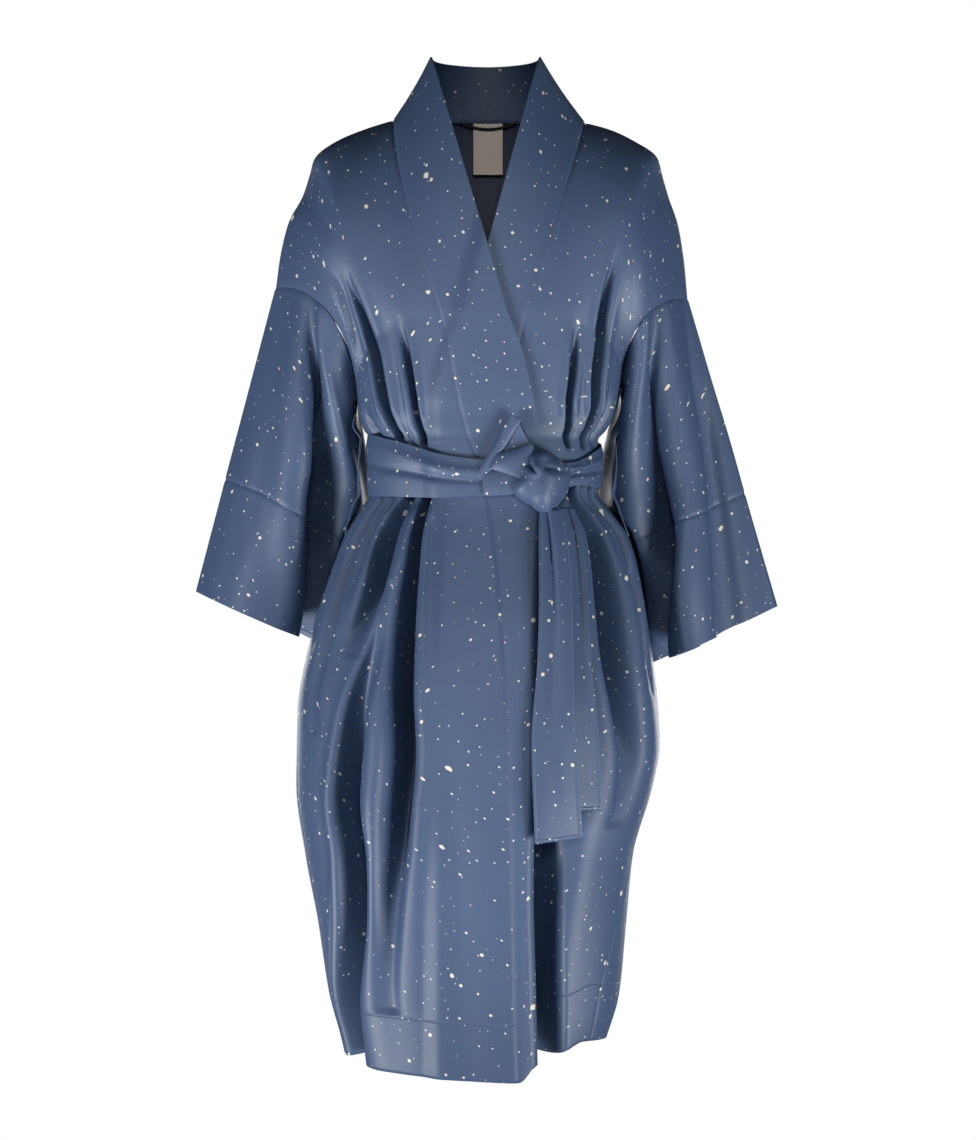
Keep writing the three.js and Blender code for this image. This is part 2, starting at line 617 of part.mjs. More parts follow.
// The back, cut in one, and the collar that stands on its neck edge.
const beyondNeck = steps(NECK_SHARE, 1, 13);
const BACK_SHARES = [
  ...beyondNeck.map((s) => -s).reverse(),
  ...[-0.8, -0.5, -0.25, 0, 0.25, 0.5, 0.8].map((s) => s * NECK_SHARE),
  ...beyondNeck,
];
const back = { flip: 1, squareTop: NECK_SHARE, edges: ["top", "start", "end"] };
robe.add(panel("back", backSurface, BACK_SHARES, ROWS, back));
const collar = { flip: -1, uRange: [-1, 1], vRange: [0, 1], edges: ["top", "start", "end"], wall: BAND_WALL };
robe.add(panel("collar", collarSurface, steps(-1, 1, 16), steps(0, 1, 3), collar));

// Sleeves and the deep cuffs sewn to them.
const SLEEVE_ROUND = 32;
for (const side of ["left", "right"]) {
  const wearerSide = side === "left" ? "right" : "left";
  const surface = sleeveSurface(side);
  const rounds = steps(0, 1, SLEEVE_ROUND).slice(0, SLEEVE_ROUND);
  const options = { flip: side === "left" ? -1 : 1, uRange: [-1, 2], vRange: [0, 1], loop: true };
  const sleeveRows = steps(SLEEVE_START, CUFF_SHARE, 7);
  const cuffRows = steps(CUFF_SHARE, 1, 4);
  robe.add(panel(`sleeve_${wearerSide}`, surface, rounds, sleeveRows, { ...options, edges: ["top", "bottom"] }));
  robe.add(panel(`cuff_${wearerSide}`, surface, rounds, cuffRows, { ...options, edges: ["top"] }));
}

// The belt goes once round the waist. It narrows towards the knot, where it is pulled tight.
const BELT_PLACES = [
  { angle: -180, middle: -409, half: 34 },
  { angle: -90, middle: -412, half: 37 },
  { angle: -50, middle: -417, half: 33 },
  { angle: -14, middle: -428, half: 25 },
  { angle: 22, middle: -431, half: 21 },
  { angle: 52, middle: -423, half: 19 },
  { angle: 90, middle: -413, half: 23 },
  { angle: 130, middle: -410, half: 30 },
  { angle: 180, middle: -409, half: 34 },
];
const BELT_OFF = 1.8;
const BELT_LIFT = { starts: [-78, -54], ends: [68, 108] };
function beltSurface(angle, down) {
  const wound = ((((angle + 180) % 360) + 360) % 360) - 180;
  const middle = read(BELT_PLACES, "angle", "middle", wound);
  const z = middle + read(BELT_PLACES, "angle", "half", wound) * (1 - 2 * down);
  const waist = ringPoint(wound, BELT_MIDDLE_Z);
  const out = new THREE.Vector3(waist.x, waist.y, 0).normalize();
  const lapped = ease(...BELT_LIFT.starts, waist.x) * (1 - ease(...BELT_LIFT.ends, waist.x));
  const lifted = waist.y < 0 ? OVERLAP_LIFT * lapped : 0;
  return waist.setZ(z).addScaledVector(out, lifted + BELT_OFF + BELT_WALL);
}
const belt = { flip: -1, uRange: [-360, 360], vRange: [0, 1], loop: true, wall: BELT_WALL };
robe.add(panel("belt", beltSurface, steps(-180, 180, 48).slice(0, 48), [0, 0.5, 1], belt));

// A closed body lofted through rings of points, with a point in the middle of each end.
function loft(name, rings, finish) {
  const sides = rings[0].length;
  const middle = (ring) => ring.reduce((sum, p) => sum.add(p), new THREE.Vector3()).divideScalar(sides);
  const points = [...rings.flat(), middle(rings[0]), middle(rings[rings.length - 1])];
  const [first, last] = [points.length - 2, points.length - 1];
  const index = [];
  for (let j = 0; j < sides; j++) {
    const next = (j + 1) % sides;
    for (let i = 0; i < rings.length - 1; i++) {
      const [a, b, c, d] = [i * sides + j, i * sides + next, (i + 1) * sides + next, (i + 1) * sides + j];
      index.push(a, b, c, a, c, d);
    }
    index.push(first, next, j);
    index.push(last, (rings.length - 1) * sides + j, (rings.length - 1) * sides + next);
  }
  return meshOf(name, points, index, finish);
}

// The front of the cloth at a place, as a smooth form without its folds: what the knot and the tails lie on.
function frontFace(x, z) {
  const face = ringPoint(angleAt(x, z), z);
  return -face.y + OVERLAP_LIFT;
}

// The knot: the strap that wraps the crossing, a soft four-cornered lump. Reach is from its middle to its edge.
const KNOT = { x: 64, z: -436, thick: 27, sides: 16, rings: 5 };
const KNOT_EDGE = [
  { turn: 0, reach: 31 },
  { turn: 45, reach: 30 },
  { turn: 95, reach: 37 },
  { turn: 140, reach: 29 },
  { turn: 195, reach: 33 },
  { turn: 240, reach: 30 },
  { turn: 285, reach: 36 },
  { turn: 330, reach: 29 },
  { turn: 360, reach: 31 },
];
const KNOT_SEAT = BELT_OFF + BELT_WALL + 1.2;
function knotRing(swell, spread) {
  return Array.from({ length: KNOT.sides }, (_, j) => {
    const turn = (j * 360) / KNOT.sides;
    const reach = read(KNOT_EDGE, "turn", "reach", turn) * spread;
    const x = KNOT.x + reach * Math.cos(radians(turn));
    const seat = frontFace(x, KNOT.z) + KNOT_SEAT;
    return new THREE.Vector3(x, -(seat + KNOT.thick * swell), KNOT.z + reach * Math.sin(radians(turn)));
  });
}
const knotRings = [knotRing(0, 0.5)];
for (const lean of steps(0, 80, KNOT.rings)) {
  knotRings.push(knotRing(Math.sin(radians(lean)), Math.cos(radians(lean)) ** 0.75));
}
robe.add(loft("belt_knot", knotRings));

// The ear of the half bow: a flattened loop of belt that leaves the knot up and to the lapping side.
const EAR = [
  { along: 0, x: 32, z: -423, half: 22, thick: 7 },
  { along: 0.3, x: 22, z: -414, half: 30, thick: 9 },
  { along: 0.65, x: 11, z: -402, half: 37, thick: 8 },
  { along: 0.9, x: 3, z: -395, half: 41, thick: 8 },
  { along: 1, x: 0, z: -392.5, half: 41, thick: 4 },
];
const EAR_LEAN = 60;
const EAR_OFF = 0.3;
const EAR_SIDES = 14;
function earRing(row) {
  const lean = radians(EAR_LEAN);
  return Array.from({ length: EAR_SIDES }, (_, j) => {
    const a = (j * 2 * Math.PI) / EAR_SIDES;
    const reach = row.half * Math.cos(a);
    const x = row.x + reach * Math.cos(lean);
    const z = row.z + reach * Math.sin(lean);
    const seat = frontFace(x, Math.max(z, -446)) + BELT_OFF + BELT_WALL + EAR_OFF;
    return new THREE.Vector3(x, -(seat + row.thick * (1 + Math.sin(a))), z);
  });
}
robe.add(loft("belt_ear", EAR.map(earRing)));

// The two tails hang from the knot down the front.
const TAILS = {
  belt_tail_front: {
    out: 8.5,
    places: [
      { z: -474, left: 60, right: 84 },
      { z: -500, left: 59, right: 94 },
      { z: -560, left: 59, right: 98 },
      { z: -640, left: 57, right: 99 },
      { z: -740, left: 50, right: 102 },
      { z: -852, left: 54, right: 109 },
    ],
  },
  belt_tail_back: {
    out: 3.5,
    places: [
      { z: -470, left: 76, right: 100 },
      { z: -500, left: 78, right: 110 },
      { z: -560, left: 78, right: 116 },
      { z: -640, left: 76, right: 120 },
      { z: -740, left: 74, right: 128 },
      { z: -818, left: 73, right: 132 },
    ],
  },
};
const TAIL_ROWS = 12;
for (const [name, tail] of Object.entries(TAILS)) {
  const [top, end] = [tail.places[0].z, tail.places[tail.places.length - 1].z];
  const surface = (across, down) => {
    const z = mix(top, end, down);
    const left = read([...tail.places].reverse(), "z", "left", z);
    const x = mix(left, read([...tail.places].reverse(), "z", "right", z), across);
    return new THREE.Vector3(x, -(frontFace(x, z) + tail.out), z);
  };
  const options = { flip: 1, uRange: [0, 1], vRange: [0, 1], wall: BELT_WALL };
  robe.add(panel(name, surface, steps(0, 1, 4), steps(0, 1, TAIL_ROWS), options));
}

// A slack loop on each side seam carries the belt.
const LOOPS = {
  left: { side: "right", angle: 84, top: -324, foot: -498, bow: 12, sewn: 0.5 },
  right: { side: "left", angle: -84, top: -352, foot: -502, bow: 5, sewn: -1.7 },
};
const LOOP_SPREAD = 7;
const LOOP_WALL = 1.4;
const LOOP_SLACK = { off: 3, share: 0.12 };
for (const [wearerSide, loop] of Object.entries(LOOPS)) {
  const outward = loop.side === "left" ? -1 : 1;
  const surface = (across, down) => {
    const z = mix(loop.top, loop.foot, down);
    const p = ringPoint(loop.angle - outward * (across - 0.5) * LOOP_SPREAD, z);
    const nearBelt = 1 - ease(BELT_PINCH.flat, BELT_PINCH.full + 16, Math.abs(z - BELT_MIDDLE_Z));
    const bow = loop.bow * Math.sin(Math.PI * down) ** 2;
    const slack = ease(0, LOOP_SLACK.share, Math.min(down, 1 - down));
    const off = mix(loop.sewn, LOOP_SLACK.off, slack);
    p.x += outward * (off + LOOP_WALL + nearBelt * (BELT_WALL + BELT_OFF + 3) + bow);
    return p;
  };
  const options = { flip: loop.side === "left" ? -1 : 1, uRange: [0, 1], vRange: [0, 1], wall: LOOP_WALL };
  robe.add(panel(`belt_loop_${wearerSide}`, surface, [0, 0.5, 1], steps(0, 1, 14), options));
}

// Inside the back of the neck: a bare woven label, and the loop of tape that the robe hangs by.
const LABEL = { half: 18, top: 8.6, foot: -56, wall: 0.8, y: 75.4, cup: 1.9 };
const labelSurface = (across, down) => {
  const y = LABEL.y - LABEL.cup * across * across;
  return new THREE.Vector3(LABEL.half * across, y, mix(LABEL.top, LABEL.foot, down));
};
const labelOptions = { flip: 1, uRange: [-1, 1], vRange: [0, 1], wall: LABEL.wall, finish: "label" };
robe.add(panel("neck_label", labelSurface, [-1, 0, 1], [0, 0.5, 1], labelOptions));

const HANGER = { half: 36, endY: 70.6, middleY: 71.3, endZ: 8, sag: 9, radius: 1, steps: 12, sides: 6 };
const hangerRings = steps(-1, 1, HANGER.steps).map((t) => {
  const middle = new THREE.Vector3(
    HANGER.half * t,
    mix(HANGER.middleY, HANGER.endY, t * t),
    HANGER.endZ - HANGER.sag * (1 - t * t),
  );
  const run = new THREE.Vector3(HANGER.half, 0, 2 * HANGER.sag * t).normalize();
  const across = new THREE.Vector3(0, 1, 0);
  const up = run.clone().cross(across);
  return Array.from({ length: HANGER.sides }, (_, j) => {
    const a = (j * 2 * Math.PI) / HANGER.sides;
    const p = middle.clone().addScaledVector(across, HANGER.radius * Math.cos(a));
    return p.addScaledVector(up, HANGER.radius * Math.sin(a));
  });
});
robe.add(loft("hanging_loop", hangerRings, "tape"));

export default robe;
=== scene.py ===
import math

import bpy
import numpy as np
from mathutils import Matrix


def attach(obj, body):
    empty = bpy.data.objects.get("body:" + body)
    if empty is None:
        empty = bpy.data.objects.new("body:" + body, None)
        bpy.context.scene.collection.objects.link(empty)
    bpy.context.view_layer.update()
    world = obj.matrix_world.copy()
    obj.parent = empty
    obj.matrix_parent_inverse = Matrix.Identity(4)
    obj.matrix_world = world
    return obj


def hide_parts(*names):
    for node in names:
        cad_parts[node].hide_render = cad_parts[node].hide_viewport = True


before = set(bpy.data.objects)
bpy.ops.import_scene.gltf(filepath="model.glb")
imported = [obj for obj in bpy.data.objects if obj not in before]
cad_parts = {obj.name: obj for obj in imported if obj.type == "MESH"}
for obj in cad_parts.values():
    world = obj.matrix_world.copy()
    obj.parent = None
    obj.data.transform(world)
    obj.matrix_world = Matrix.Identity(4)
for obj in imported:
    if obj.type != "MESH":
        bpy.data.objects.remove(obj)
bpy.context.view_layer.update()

# The two fronts, of printed cotton sateen about half a millimetre thick. The one at -X laps over the other.
# Each is sewn to the back at the shoulder and the side, and to its doubled band along the free edge. The sash
# gathers them at the waist. Their form is a ring of the worn body at each height, with folds pressed into it.
MM = 0.001
CLOTH_WALL = 1.1
BAND_WALL = 2
OVERLAP_LIFT = 6
LIFT_RAMP = (-26, -2)
SINK_RAMP = {"edge": 2, "out": 44, "hidden": (-62, -20)}
BAND_HEM_RISE = 22
BELT_MIDDLE_Z = -411
BELT_PINCH = (44, 66)
SLIT_PINCH = (14, 25)
FOLD_POWER = 2.6
CREASE_POWER = 1.8
RIDGE = {"away": 2.4, "half": 1.1, "high": 0.12}
OUTLINE_POWER = 0.82
CHEST_ROW = {"front": -236, "back": -288, "left": -335, "right": -313}
CHEST_POWER = {"front": 1.5, "back": 2}
ARMHOLE_BULGE = {"front": -58, "back": 56}
COLLAR_TOP = {"left": -69, "right": 63, "y": 2, "z": 77}
COLLAR_BULGE = -2
SIDE_FADE = (0.84, 1)
TURNED_LEAN = 0.12


def named(names, *rows):
    """Rows of numbers as named columns. The first column is the one that a place is looked up in."""
    return dict(zip(names.split(), np.array(rows, float).T))


# How far the worn body reaches to either side, to the front and to the back at each height.
BODY_RING = named(
    "z left right front back",
    (-1150, 164, 122, 122, 116),
    (-1094, 177, 143, 127, 122),
    (-1046, 190, 157, 130, 128),
    (-956, 204, 166, 137, 138),
    (-878, 219, 174, 142, 147),
    (-794, 230, 198, 145, 156),
    (-746, 229, 206, 145, 158),
    (-704, 228, 204, 144, 157),
    (-614, 211, 193, 134, 149),
    (-530, 184, 178, 115, 127),
    (-494, 170, 166, 105.5, 110),
    (-478, 160, 154, 101.5, 99),
    (-461, 149, 141, 98, 90),
    (-446, 140, 132, 96, 86),
    (-384, 140, 132, 95, 86),
    (-371, 149, 142, 97, 89),
    (-355, 155, 151, 99, 92),
    (-335, 157, 157, 103, 96),
    (-236, 170, 172, 115, 101),
)
# The line from the neck (0) over the shoulder to the top of the armhole, and on down to its foot (1).
SHOULDER_LINE = named(
    "share left left_z right right_z",
    (0, -114, 0, 117, -3),
    (0.15, -146, -10, 146, -11),
    (0.3, -184, -26, 178, -26),
    (0.42, -209, -46, 204, -45),
    (0.5, -215, -66, 210, -66),
    (0.58, -223, -90, 217, -90),
    (0.72, -240, -122, 229, -126),
    (0.86, -250, -163, 236, -169),
    (1, -255, -200, 240, -214),
)
# The free edge and the band's seam in x at each height. Turn is how far the lower edge turns back to hide
# itself, and sink how far the front underneath falls back where the other one covers it.
OVER_EDGE = named(
    "z edge seam turn",
    (-1130, 52, 34, 36),
    (-1030, 50, 31, 40),
    (-914, 47, 29, 40),
    (-797, 49, 26, 38),
    (-681, 51, 21, 34),
    (-565, 54, 13, 26),
    (-490, 57, 5, 12),
    (-446, 60, -3, 2),
    (-409, 62, -13, 0),
    (-379, 60, -24, 0),
    (-340, 53, -34, 0),
    (-283, 40, -45, 0),
    (-236, 22, -57, 0),
)
UNDER_EDGE = named(
    "z edge seam sink",
    (-1130, -52, 0, 48),
    (-1030, -52, 0, 52),
    (-797, -52, 2, 50),
    (-681, -54, 4, 46),
    (-565, -48, 8, 38),
    (-490, -44, 12, 22),
    (-446, -46, 15, 5),
    (-409, -50, 17, 0),
    (-340, -52, 24, 0),
    (-283, -38, 35, 0),
    (-236, -22, 46, 0),
)
# Angles round the body from the middle of the front, in degrees, positive towards +X.
SIDE_SEAMS = named(
    "z left right",
    (-1130, -79, 56),
    (-1046, -79, 52),
    (-974, -78, 61),
    (-890, -78, 76),
    (-790, -80, 86),
    (-680, -86, 90),
    (-335, -90, 90),
)
OVER_HEM = named(
    "angle z",
    (-180, -1110),
    (-100, -1114),
    (-79, -1116),
    (-66, -1122),
    (-40, -1130),
    (-16, -1135),
    (-4, -1130),
    (2, -1124),
    (8, -1112),
    (15.6, -1096),
    (24, -1080),
)
UNDER_HEM = named(
    "angle z",
    (-40, -1100),
    (20, -1099),
    (45, -1106),
    (56, -1104),
    (80, -1092),
    (120, -1098),
    (180, -1110),
)
# Each fold runs down rows of the panel, from its start over its fullest place to its end. Rows: 0 the
# shoulder, 1 the chest, 2 the middle of the sash, 3 the hem. A negative depth is a ridge. Lean makes one side
# steeper.
FOLD_COLUMNS = "start full end share_a share_b share_c half_a half_b half_c deep_a deep_b deep_c lean"
OVER_FOLDS = named(
    FOLD_COLUMNS,
    (0.65, 1.2, 2, 0.59, 0.5, 0.46, 7, 5.5, 3.5, 0, 42, 34, 0.2),
    (0.95, 1.5, 2, 0.26, 0.25, 0.27, 5, 3.5, 2.8, 0, 26, 28, -0.1),
    (2, 2.16, 2.32, 0.41, 0.46, 0.52, 4.5, 10, 13, 22, 40, 2, 0.2),
    (2, 2.42, 2.9, 0.285, 0.28, 0.47, 4.5, 12, 15, 26, 64, 6, -0.2),
    (2.2, 2.6, 3.1, 0.38, 0.585, 0.9, 10, 13, 15, 2, 56, 30, 0.35),
    (2, 2.2, 2.45, 0.68, 0.7, 0.74, 5, 8, 10, 15, 17, 2, -0.2),
)
UNDER_FOLDS = named(
    FOLD_COLUMNS,
    (0.65, 1.2, 2, 0.44, 0.48, 0.6, 7, 5.5, 3.5, 0, 42, 34, -0.2),
    (0.95, 1.5, 2, 0.3, 0.33, 0.45, 5, 3.5, 2.8, 0, 24, 28, 0.1),
    (2, 2.3, 2.62, 0.46, 0.47, 0.6, 4.5, 14, 16, 22, 58, 3, -0.3),
    (2, 2.2, 2.4, 0.72, 0.73, 0.78, 4, 7, 9, 14, 22, 2, 0.2),
)
# Creases that are too small for the solid: gathers at the sash, and soft pulls from the shoulder.
OVER_CREASES = named(
    FOLD_COLUMNS,
    (1.62, 1.85, 2, 0.36, 0.36, 0.37, 3, 3, 2, 0, 2.5, 5, 0.3),
    (1.35, 1.65, 2, 0.74, 0.72, 0.7, 8, 7, 4, 0, 7, 8, 0.2),
    (2, 2.08, 2.2, 0.34, 0.35, 0.37, 3, 4, 6, 5, 3.5, 0, 0),
    (2, 2.12, 2.28, 0.56, 0.58, 0.6, 3, 5, 6, 7, 6, 0, 0.2),
    (2, 2.1, 2.25, 0.8, 0.81, 0.84, 3, 5, 6, 7, 6, 0, 0),
    (2.3, 2.6, 3.1, 0.14, 0.15, 0.18, 18, 24, 28, 0, 3.5, 3, 0),
    (2.12, 2.22, 2.34, 0.9, 0.86, 0.84, 5, 6, 6, 0, 8, 0, 0),
    (0.1, 0.6, 1.4, 0.08, 0.12, 0.15, 20, 26, 20, 0, 3, 0, 0),
    (0.3, 0.75, 1.2, 0.82, 0.72, 0.6, 16, 18, 14, 0, 6, 0, 0.2),
)
UNDER_CREASES = named(
    FOLD_COLUMNS,
    (1.62, 1.85, 2, 0.4, 0.45, 0.52, 3, 3, 2, 0, 2.5, 5, -0.3),
    (1.3, 1.6, 2, 0.68, 0.72, 0.76, 7, 7, 4, 0, 8, 8, -0.2),
    (2, 2.1, 2.24, 0.6, 0.61, 0.64, 3, 5, 6, 7, 6, 0, 0),
    (2.15, 2.22, 2.3, 0.8, 0.77, 0.78, 4, 5, 5, 0, 8, 0, 0.3),
    (2.45, 2.7, 3.1, 0.34, 0.33, 0.32, 14, 18, 20, 0, 10, 8, 0.2),
    (0.1, 0.6, 1.4, 0.12, 0.16, 0.2, 20, 26, 20, 0, 3, 0, 0),
)
# Power bends the free edge between neck and chest, and flip turns the outer face outward. Panel and band give
# the flat width, length and area of each in metres.
FRONTS = {
    "over": {
        "side": "left",
        "edge": OVER_EDGE,
        "hem": OVER_HEM,
        "power": 1.5,
        "flip": 1,
        "panel": ((0.42, 1.16), 0.38),
        "band": ((0.08, 1.24), 0.09),
    },
    "under": {
        "side": "right",
        "edge": UNDER_EDGE,
        "hem": UNDER_HEM,
        "power": 1.05,
        "flip": -1,
        "panel": ((0.36, 1.14), 0.32),
        "band": ((0.08, 1.22), 0.09),
    },
}
YOKE_ROWS = 84
BODICE_ROWS = 52
SKIRT_ROWS = 170
FRONT_COLUMNS = 146
BAND_COLUMNS = 20
SKIRT_ROW_POWER = 1.12
SEAM_STEPS = (0.12, 0.35)


def mix(low, high, share):
    """The value a share of the way from low to high."""
    return low + (high - low) * share


def ease(start, end, place):
    """0 before start and 1 past end, with a soft rise between."""
    share = np.clip((place - start) / (end - start), 0, 1)
    return share * share * (3 - 2 * share)


def read(table, column, place):
    """A named column of a table at places between its rows, along a smooth curve that never overshoots."""
    x = next(iter(table.values()))
    y = table[column]
    slope = np.diff(y) / np.diff(x)
    product = slope[:-1] * slope[1:]
    total = np.where(product > 0, slope[:-1] + slope[1:], 1)
    inner = np.where(product > 0, 2 * product / total, 0)
    tangent = np.concatenate([slope[:1], inner, slope[-1:]])
    at = np.clip(place, x[0], x[-1])
    i = np.clip(np.searchsorted(x, at) - 1, 0, len(x) - 2)
    span = x[i + 1] - x[i]
    t = (at - x[i]) / span
    rise = (3 - 2 * t) * t**2
    return (
        mix(y[i], y[i + 1], rise)
        + (t**3 - 2 * t**2 + t) * span * tangent[i]
        + (t**3 - t**2) * span * tangent[i + 1]
    )


def ring_point(angle, z):
    """A point of the body's ring at an angle in degrees from the middle of the front, positive towards +X."""
    a = np.radians(angle)
    side = np.where(np.sin(a) < 0, read(BODY_RING, "left", z), read(BODY_RING, "right", z))
    depth = np.where(np.cos(a) > 0, read(BODY_RING, "front", z), read(BODY_RING, "back", z))
    x = side * np.sign(np.sin(a)) * np.abs(np.sin(a)) ** OUTLINE_POWER
    y = -depth * np.sign(np.cos(a)) * np.abs(np.cos(a)) ** OUTLINE_POWER
    return np.stack(np.broadcast_arrays(x, y, z), -1)


def angle_at(x, z):
    """The angle on the front of the ring at a given x."""
    side = np.where(x < 0, read(BODY_RING, "left", z), read(BODY_RING, "right", z))
    share = np.clip(np.abs(x) / side, 0, 1) ** (1 / OUTLINE_POWER)
    return np.sign(x) * np.degrees(np.arcsin(share))


def shoulder_point(side, share):
    """The seam from the neck over the shoulder to the top of the armhole."""
    x = read(SHOULDER_LINE, side, share)
    z = read(SHOULDER_LINE, f"{side}_z", share)
    return np.stack(np.broadcast_arrays(x, 0 * x, z), -1)


def collar_side(side, up):
    """The collar's section on the shoulder, from its seam (0) to its free edge (1)."""
    foot = shoulder_point(side, np.zeros_like(up))
    top = np.array([COLLAR_TOP[side], COLLAR_TOP["y"], COLLAR_TOP["z"]])
    out = np.array([math.copysign(1, COLLAR_TOP[side]), 0, 0.5])
    bulge = COLLAR_BULGE * np.sin(math.pi * up)
    return mix(foot, top, up[..., None]) + out / np.linalg.norm(out) * bulge[..., None]


def row_height(row, chest_z, hem_z):
    """Height of a row: chest to sash, then sash to hem."""
    above = mix(chest_z, BELT_MIDDLE_Z, row - 1)
    return np.where(row <= 2, above, mix(BELT_MIDDLE_Z, hem_z, row - 2))


def front_base(front, across, row):
    """A front before its folds. Across: -1 the free edge, 0 the band's seam, 1 the armhole or side seam."""
    cut = FRONTS[front]
    across, row = np.broadcast_arrays(np.asarray(across, float), np.asarray(row, float))
    outward = np.maximum(across, 0)
    inward = np.maximum(-across, 0)
    chest_z = mix(CHEST_ROW["front"], CHEST_ROW[cut["side"]], outward ** CHEST_POWER["front"])
    low_row = np.maximum(row, 1)
    z = chest_z
    # The height of a row depends on the hem below its angle, so the angle is worked out a second time.
    for again in (True, False):
        seam_angle = angle_at(read(cut["edge"], "seam", z), z)
        edge_angle = angle_at(read(cut["edge"], "edge", z), z)
        turn = read(cut["edge"], "turn", z) if front == "over" else 0 * z
        seen = np.where(turn > 1, 1 - turn / 90, 1)
        angle = mix(seam_angle, read(SIDE_SEAMS, cut["side"], z), outward)
        band_angle = mix(seam_angle, edge_angle, np.minimum(1, inward / seen))
        angle = np.where(across < 0, band_angle, angle)
        turned = turn * np.maximum(0, (inward - seen) / (1 - seen + 1e-6))
        if again:
            hem_z = read(cut["hem"], "z", angle)
            if front == "over":
                hem_z = hem_z + BAND_HEM_RISE * ease(0, 1, inward)
            z = row_height(low_row, chest_z, hem_z)
    low = ring_point(angle, z)
    low[..., 0] -= turned * TURNED_LEAN
    low[..., 1] += turned
    band_top = collar_side(cut["side"], inward)
    top = np.where((across < 0)[..., None], band_top, shoulder_point(cut["side"], outward))
    swing = np.minimum(row, 1) * math.pi / 2
    fall = 1 - np.cos(swing)
    spread = ease(0, 1, outward)
    inner = fall ** mix(cut["power"], 1, inward)
    bulge = ARMHOLE_BULGE["front"] * spread * np.sin(math.pi * np.minimum(row, 1))
    x = mix(top[..., 0], low[..., 0], mix(inner, np.sin(swing), spread))
    y = mix(top[..., 1], low[..., 1], np.sin(swing)) + bulge
    yoke = np.stack([x, y, mix(top[..., 2], low[..., 2], fall)], -1)
    return np.where((row >= 1)[..., None], low, yoke)


def lap_lift(x, z):
    """How far the lapping front is lifted off the one underneath."""
    chest_edge = read(UNDER_EDGE, "edge", CHEST_ROW["front"])
    up_share = (z - CHEST_ROW["front"]) / (COLLAR_TOP["z"] - CHEST_ROW["front"])
    above = mix(chest_edge, COLLAR_TOP["right"], up_share)
    under_edge = np.where(z > CHEST_ROW["front"], above, read(UNDER_EDGE, "edge", z))
    return OVERLAP_LIFT * ease(under_edge + LIFT_RAMP[0], under_edge + LIFT_RAMP[1], x)


def under_sink(x, z):
    """How far the front underneath falls back behind the edge that laps over it."""
    edge = read(OVER_EDGE, "edge", z)
    comes_out = ease(edge + SINK_RAMP["edge"], edge + SINK_RAMP["out"], x)
    return read(UNDER_EDGE, "sink", z) * (1 - comes_out) * ease(*SINK_RAMP["hidden"], x)


def normals(grid, flip, loop=False):
    """Unit normals of a grid of points. A loop joins its last column to its first."""
    down = np.gradient(grid, axis=0)
    across = np.roll(grid, -1, 1) - np.roll(grid, 1, 1) if loop else np.gradient(grid, axis=1)
    normal = np.cross(across, down) * flip
    return normal / np.maximum(np.linalg.norm(normal, axis=-1, keepdims=True), 1e-9)


def along(folds, k, column, row):
    """A fold's share, half width or depth at rows between its start, fullest place and end."""
    first, middle, last = (folds[f"{column}_{place}"][k] for place in "abc")
    upper = mix(first, middle, ease(folds["start"][k], folds["full"][k], row))
    lower = mix(middle, last, ease(folds["full"][k], folds["end"][k], row))
    return np.where(row <= folds["full"][k], upper, lower)


def fold_depth(folds, base, grid, row, place, power, under_sash=True):
    """Depth of all folds on a grid: troughs between round ridges. A low power makes their floors narrow."""
    from_belt = np.abs(grid[..., 2] - BELT_MIDDLE_Z) if under_sash else BELT_PINCH[1]
    total = np.zeros(grid.shape[:2])
    for k in range(len(folds["start"])):
        share = along(folds, k, "share", row)
        steep = 1 - folds["lean"][k] * np.sign(place - share)
        away = np.linalg.norm(grid - base(share, row), axis=-1) / along(folds, k, "half", row) / steep
        trough = ease(*SLIT_PINCH, from_belt) * np.exp(-(away**power))
        ridge = RIDGE["high"] * np.exp(-(((away - RIDGE["away"]) / RIDGE["half"]) ** 2))
        ridge = ridge * ease(*BELT_PINCH, from_belt)
        reach = (row >= folds["start"][k]) & (row <= folds["end"][k])
        total += np.where(reach, along(folds, k, "deep", row) * (trough - ridge), 0)
    return total


def spaced(start, end, count):
    """Evenly spaced places, with two close ones at either end for the rolled edge of a seam."""
    places = np.linspace(start, end, count + 1)
    step = places[1] - places[0]
    close = np.array(SEAM_STEPS) * step
    return np.concatenate([places[:1], start + close, places[1:-1], end - close[::-1], places[-1:]])


def cloth_rows():
    """Rows of a body panel, closer where the sash pulls it in."""
    skirt = np.linspace(0, 1, SKIRT_ROWS + 1)[1:] ** SKIRT_ROW_POWER
    rows = [
        np.linspace(0, 1, YOKE_ROWS, endpoint=False),
        np.linspace(1, 2, BODICE_ROWS, endpoint=False),
        np.array([2]),
        2 + skirt,
    ]
    return np.concatenate(rows)[:, None]


def front_grid(front, shares):
    """The outer points of a front at shares across it."""
    row = cloth_rows()
    cut = FRONTS[front]
    fade = 1 - ease(*SIDE_FADE, shares[None, :])

    def base(across, at_row):
        return front_base(front, across, at_row)

    grid = base(shares[None, :], row)
    normal = normals(grid, cut["flip"])
    deep = fold_depth(FRONT_FOLDS[front], base, grid, row, shares[None, :], FOLD_POWER)
    deep = deep + fold_depth(FRONT_CREASES[front], base, grid, row, shares[None, :], CREASE_POWER)
    lifted = lap_lift(grid[..., 0], grid[..., 2]) if front == "over" else 0
    grid = grid + normal * (lifted - deep * fade)[..., None]
    if front == "under":
        grid[..., 1] += np.where(row > 1, under_sink(grid[..., 0], grid[..., 2]), 0)
    return grid


FRONT_FOLDS = {"over": OVER_FOLDS, "under": UNDER_FOLDS}
FRONT_CREASES = {"over": OVER_CREASES, "under": UNDER_CREASES}
SEAM_ROLL = {"deep": 0.9, "reach": 2.2}
NO_STITCH = 1000.0


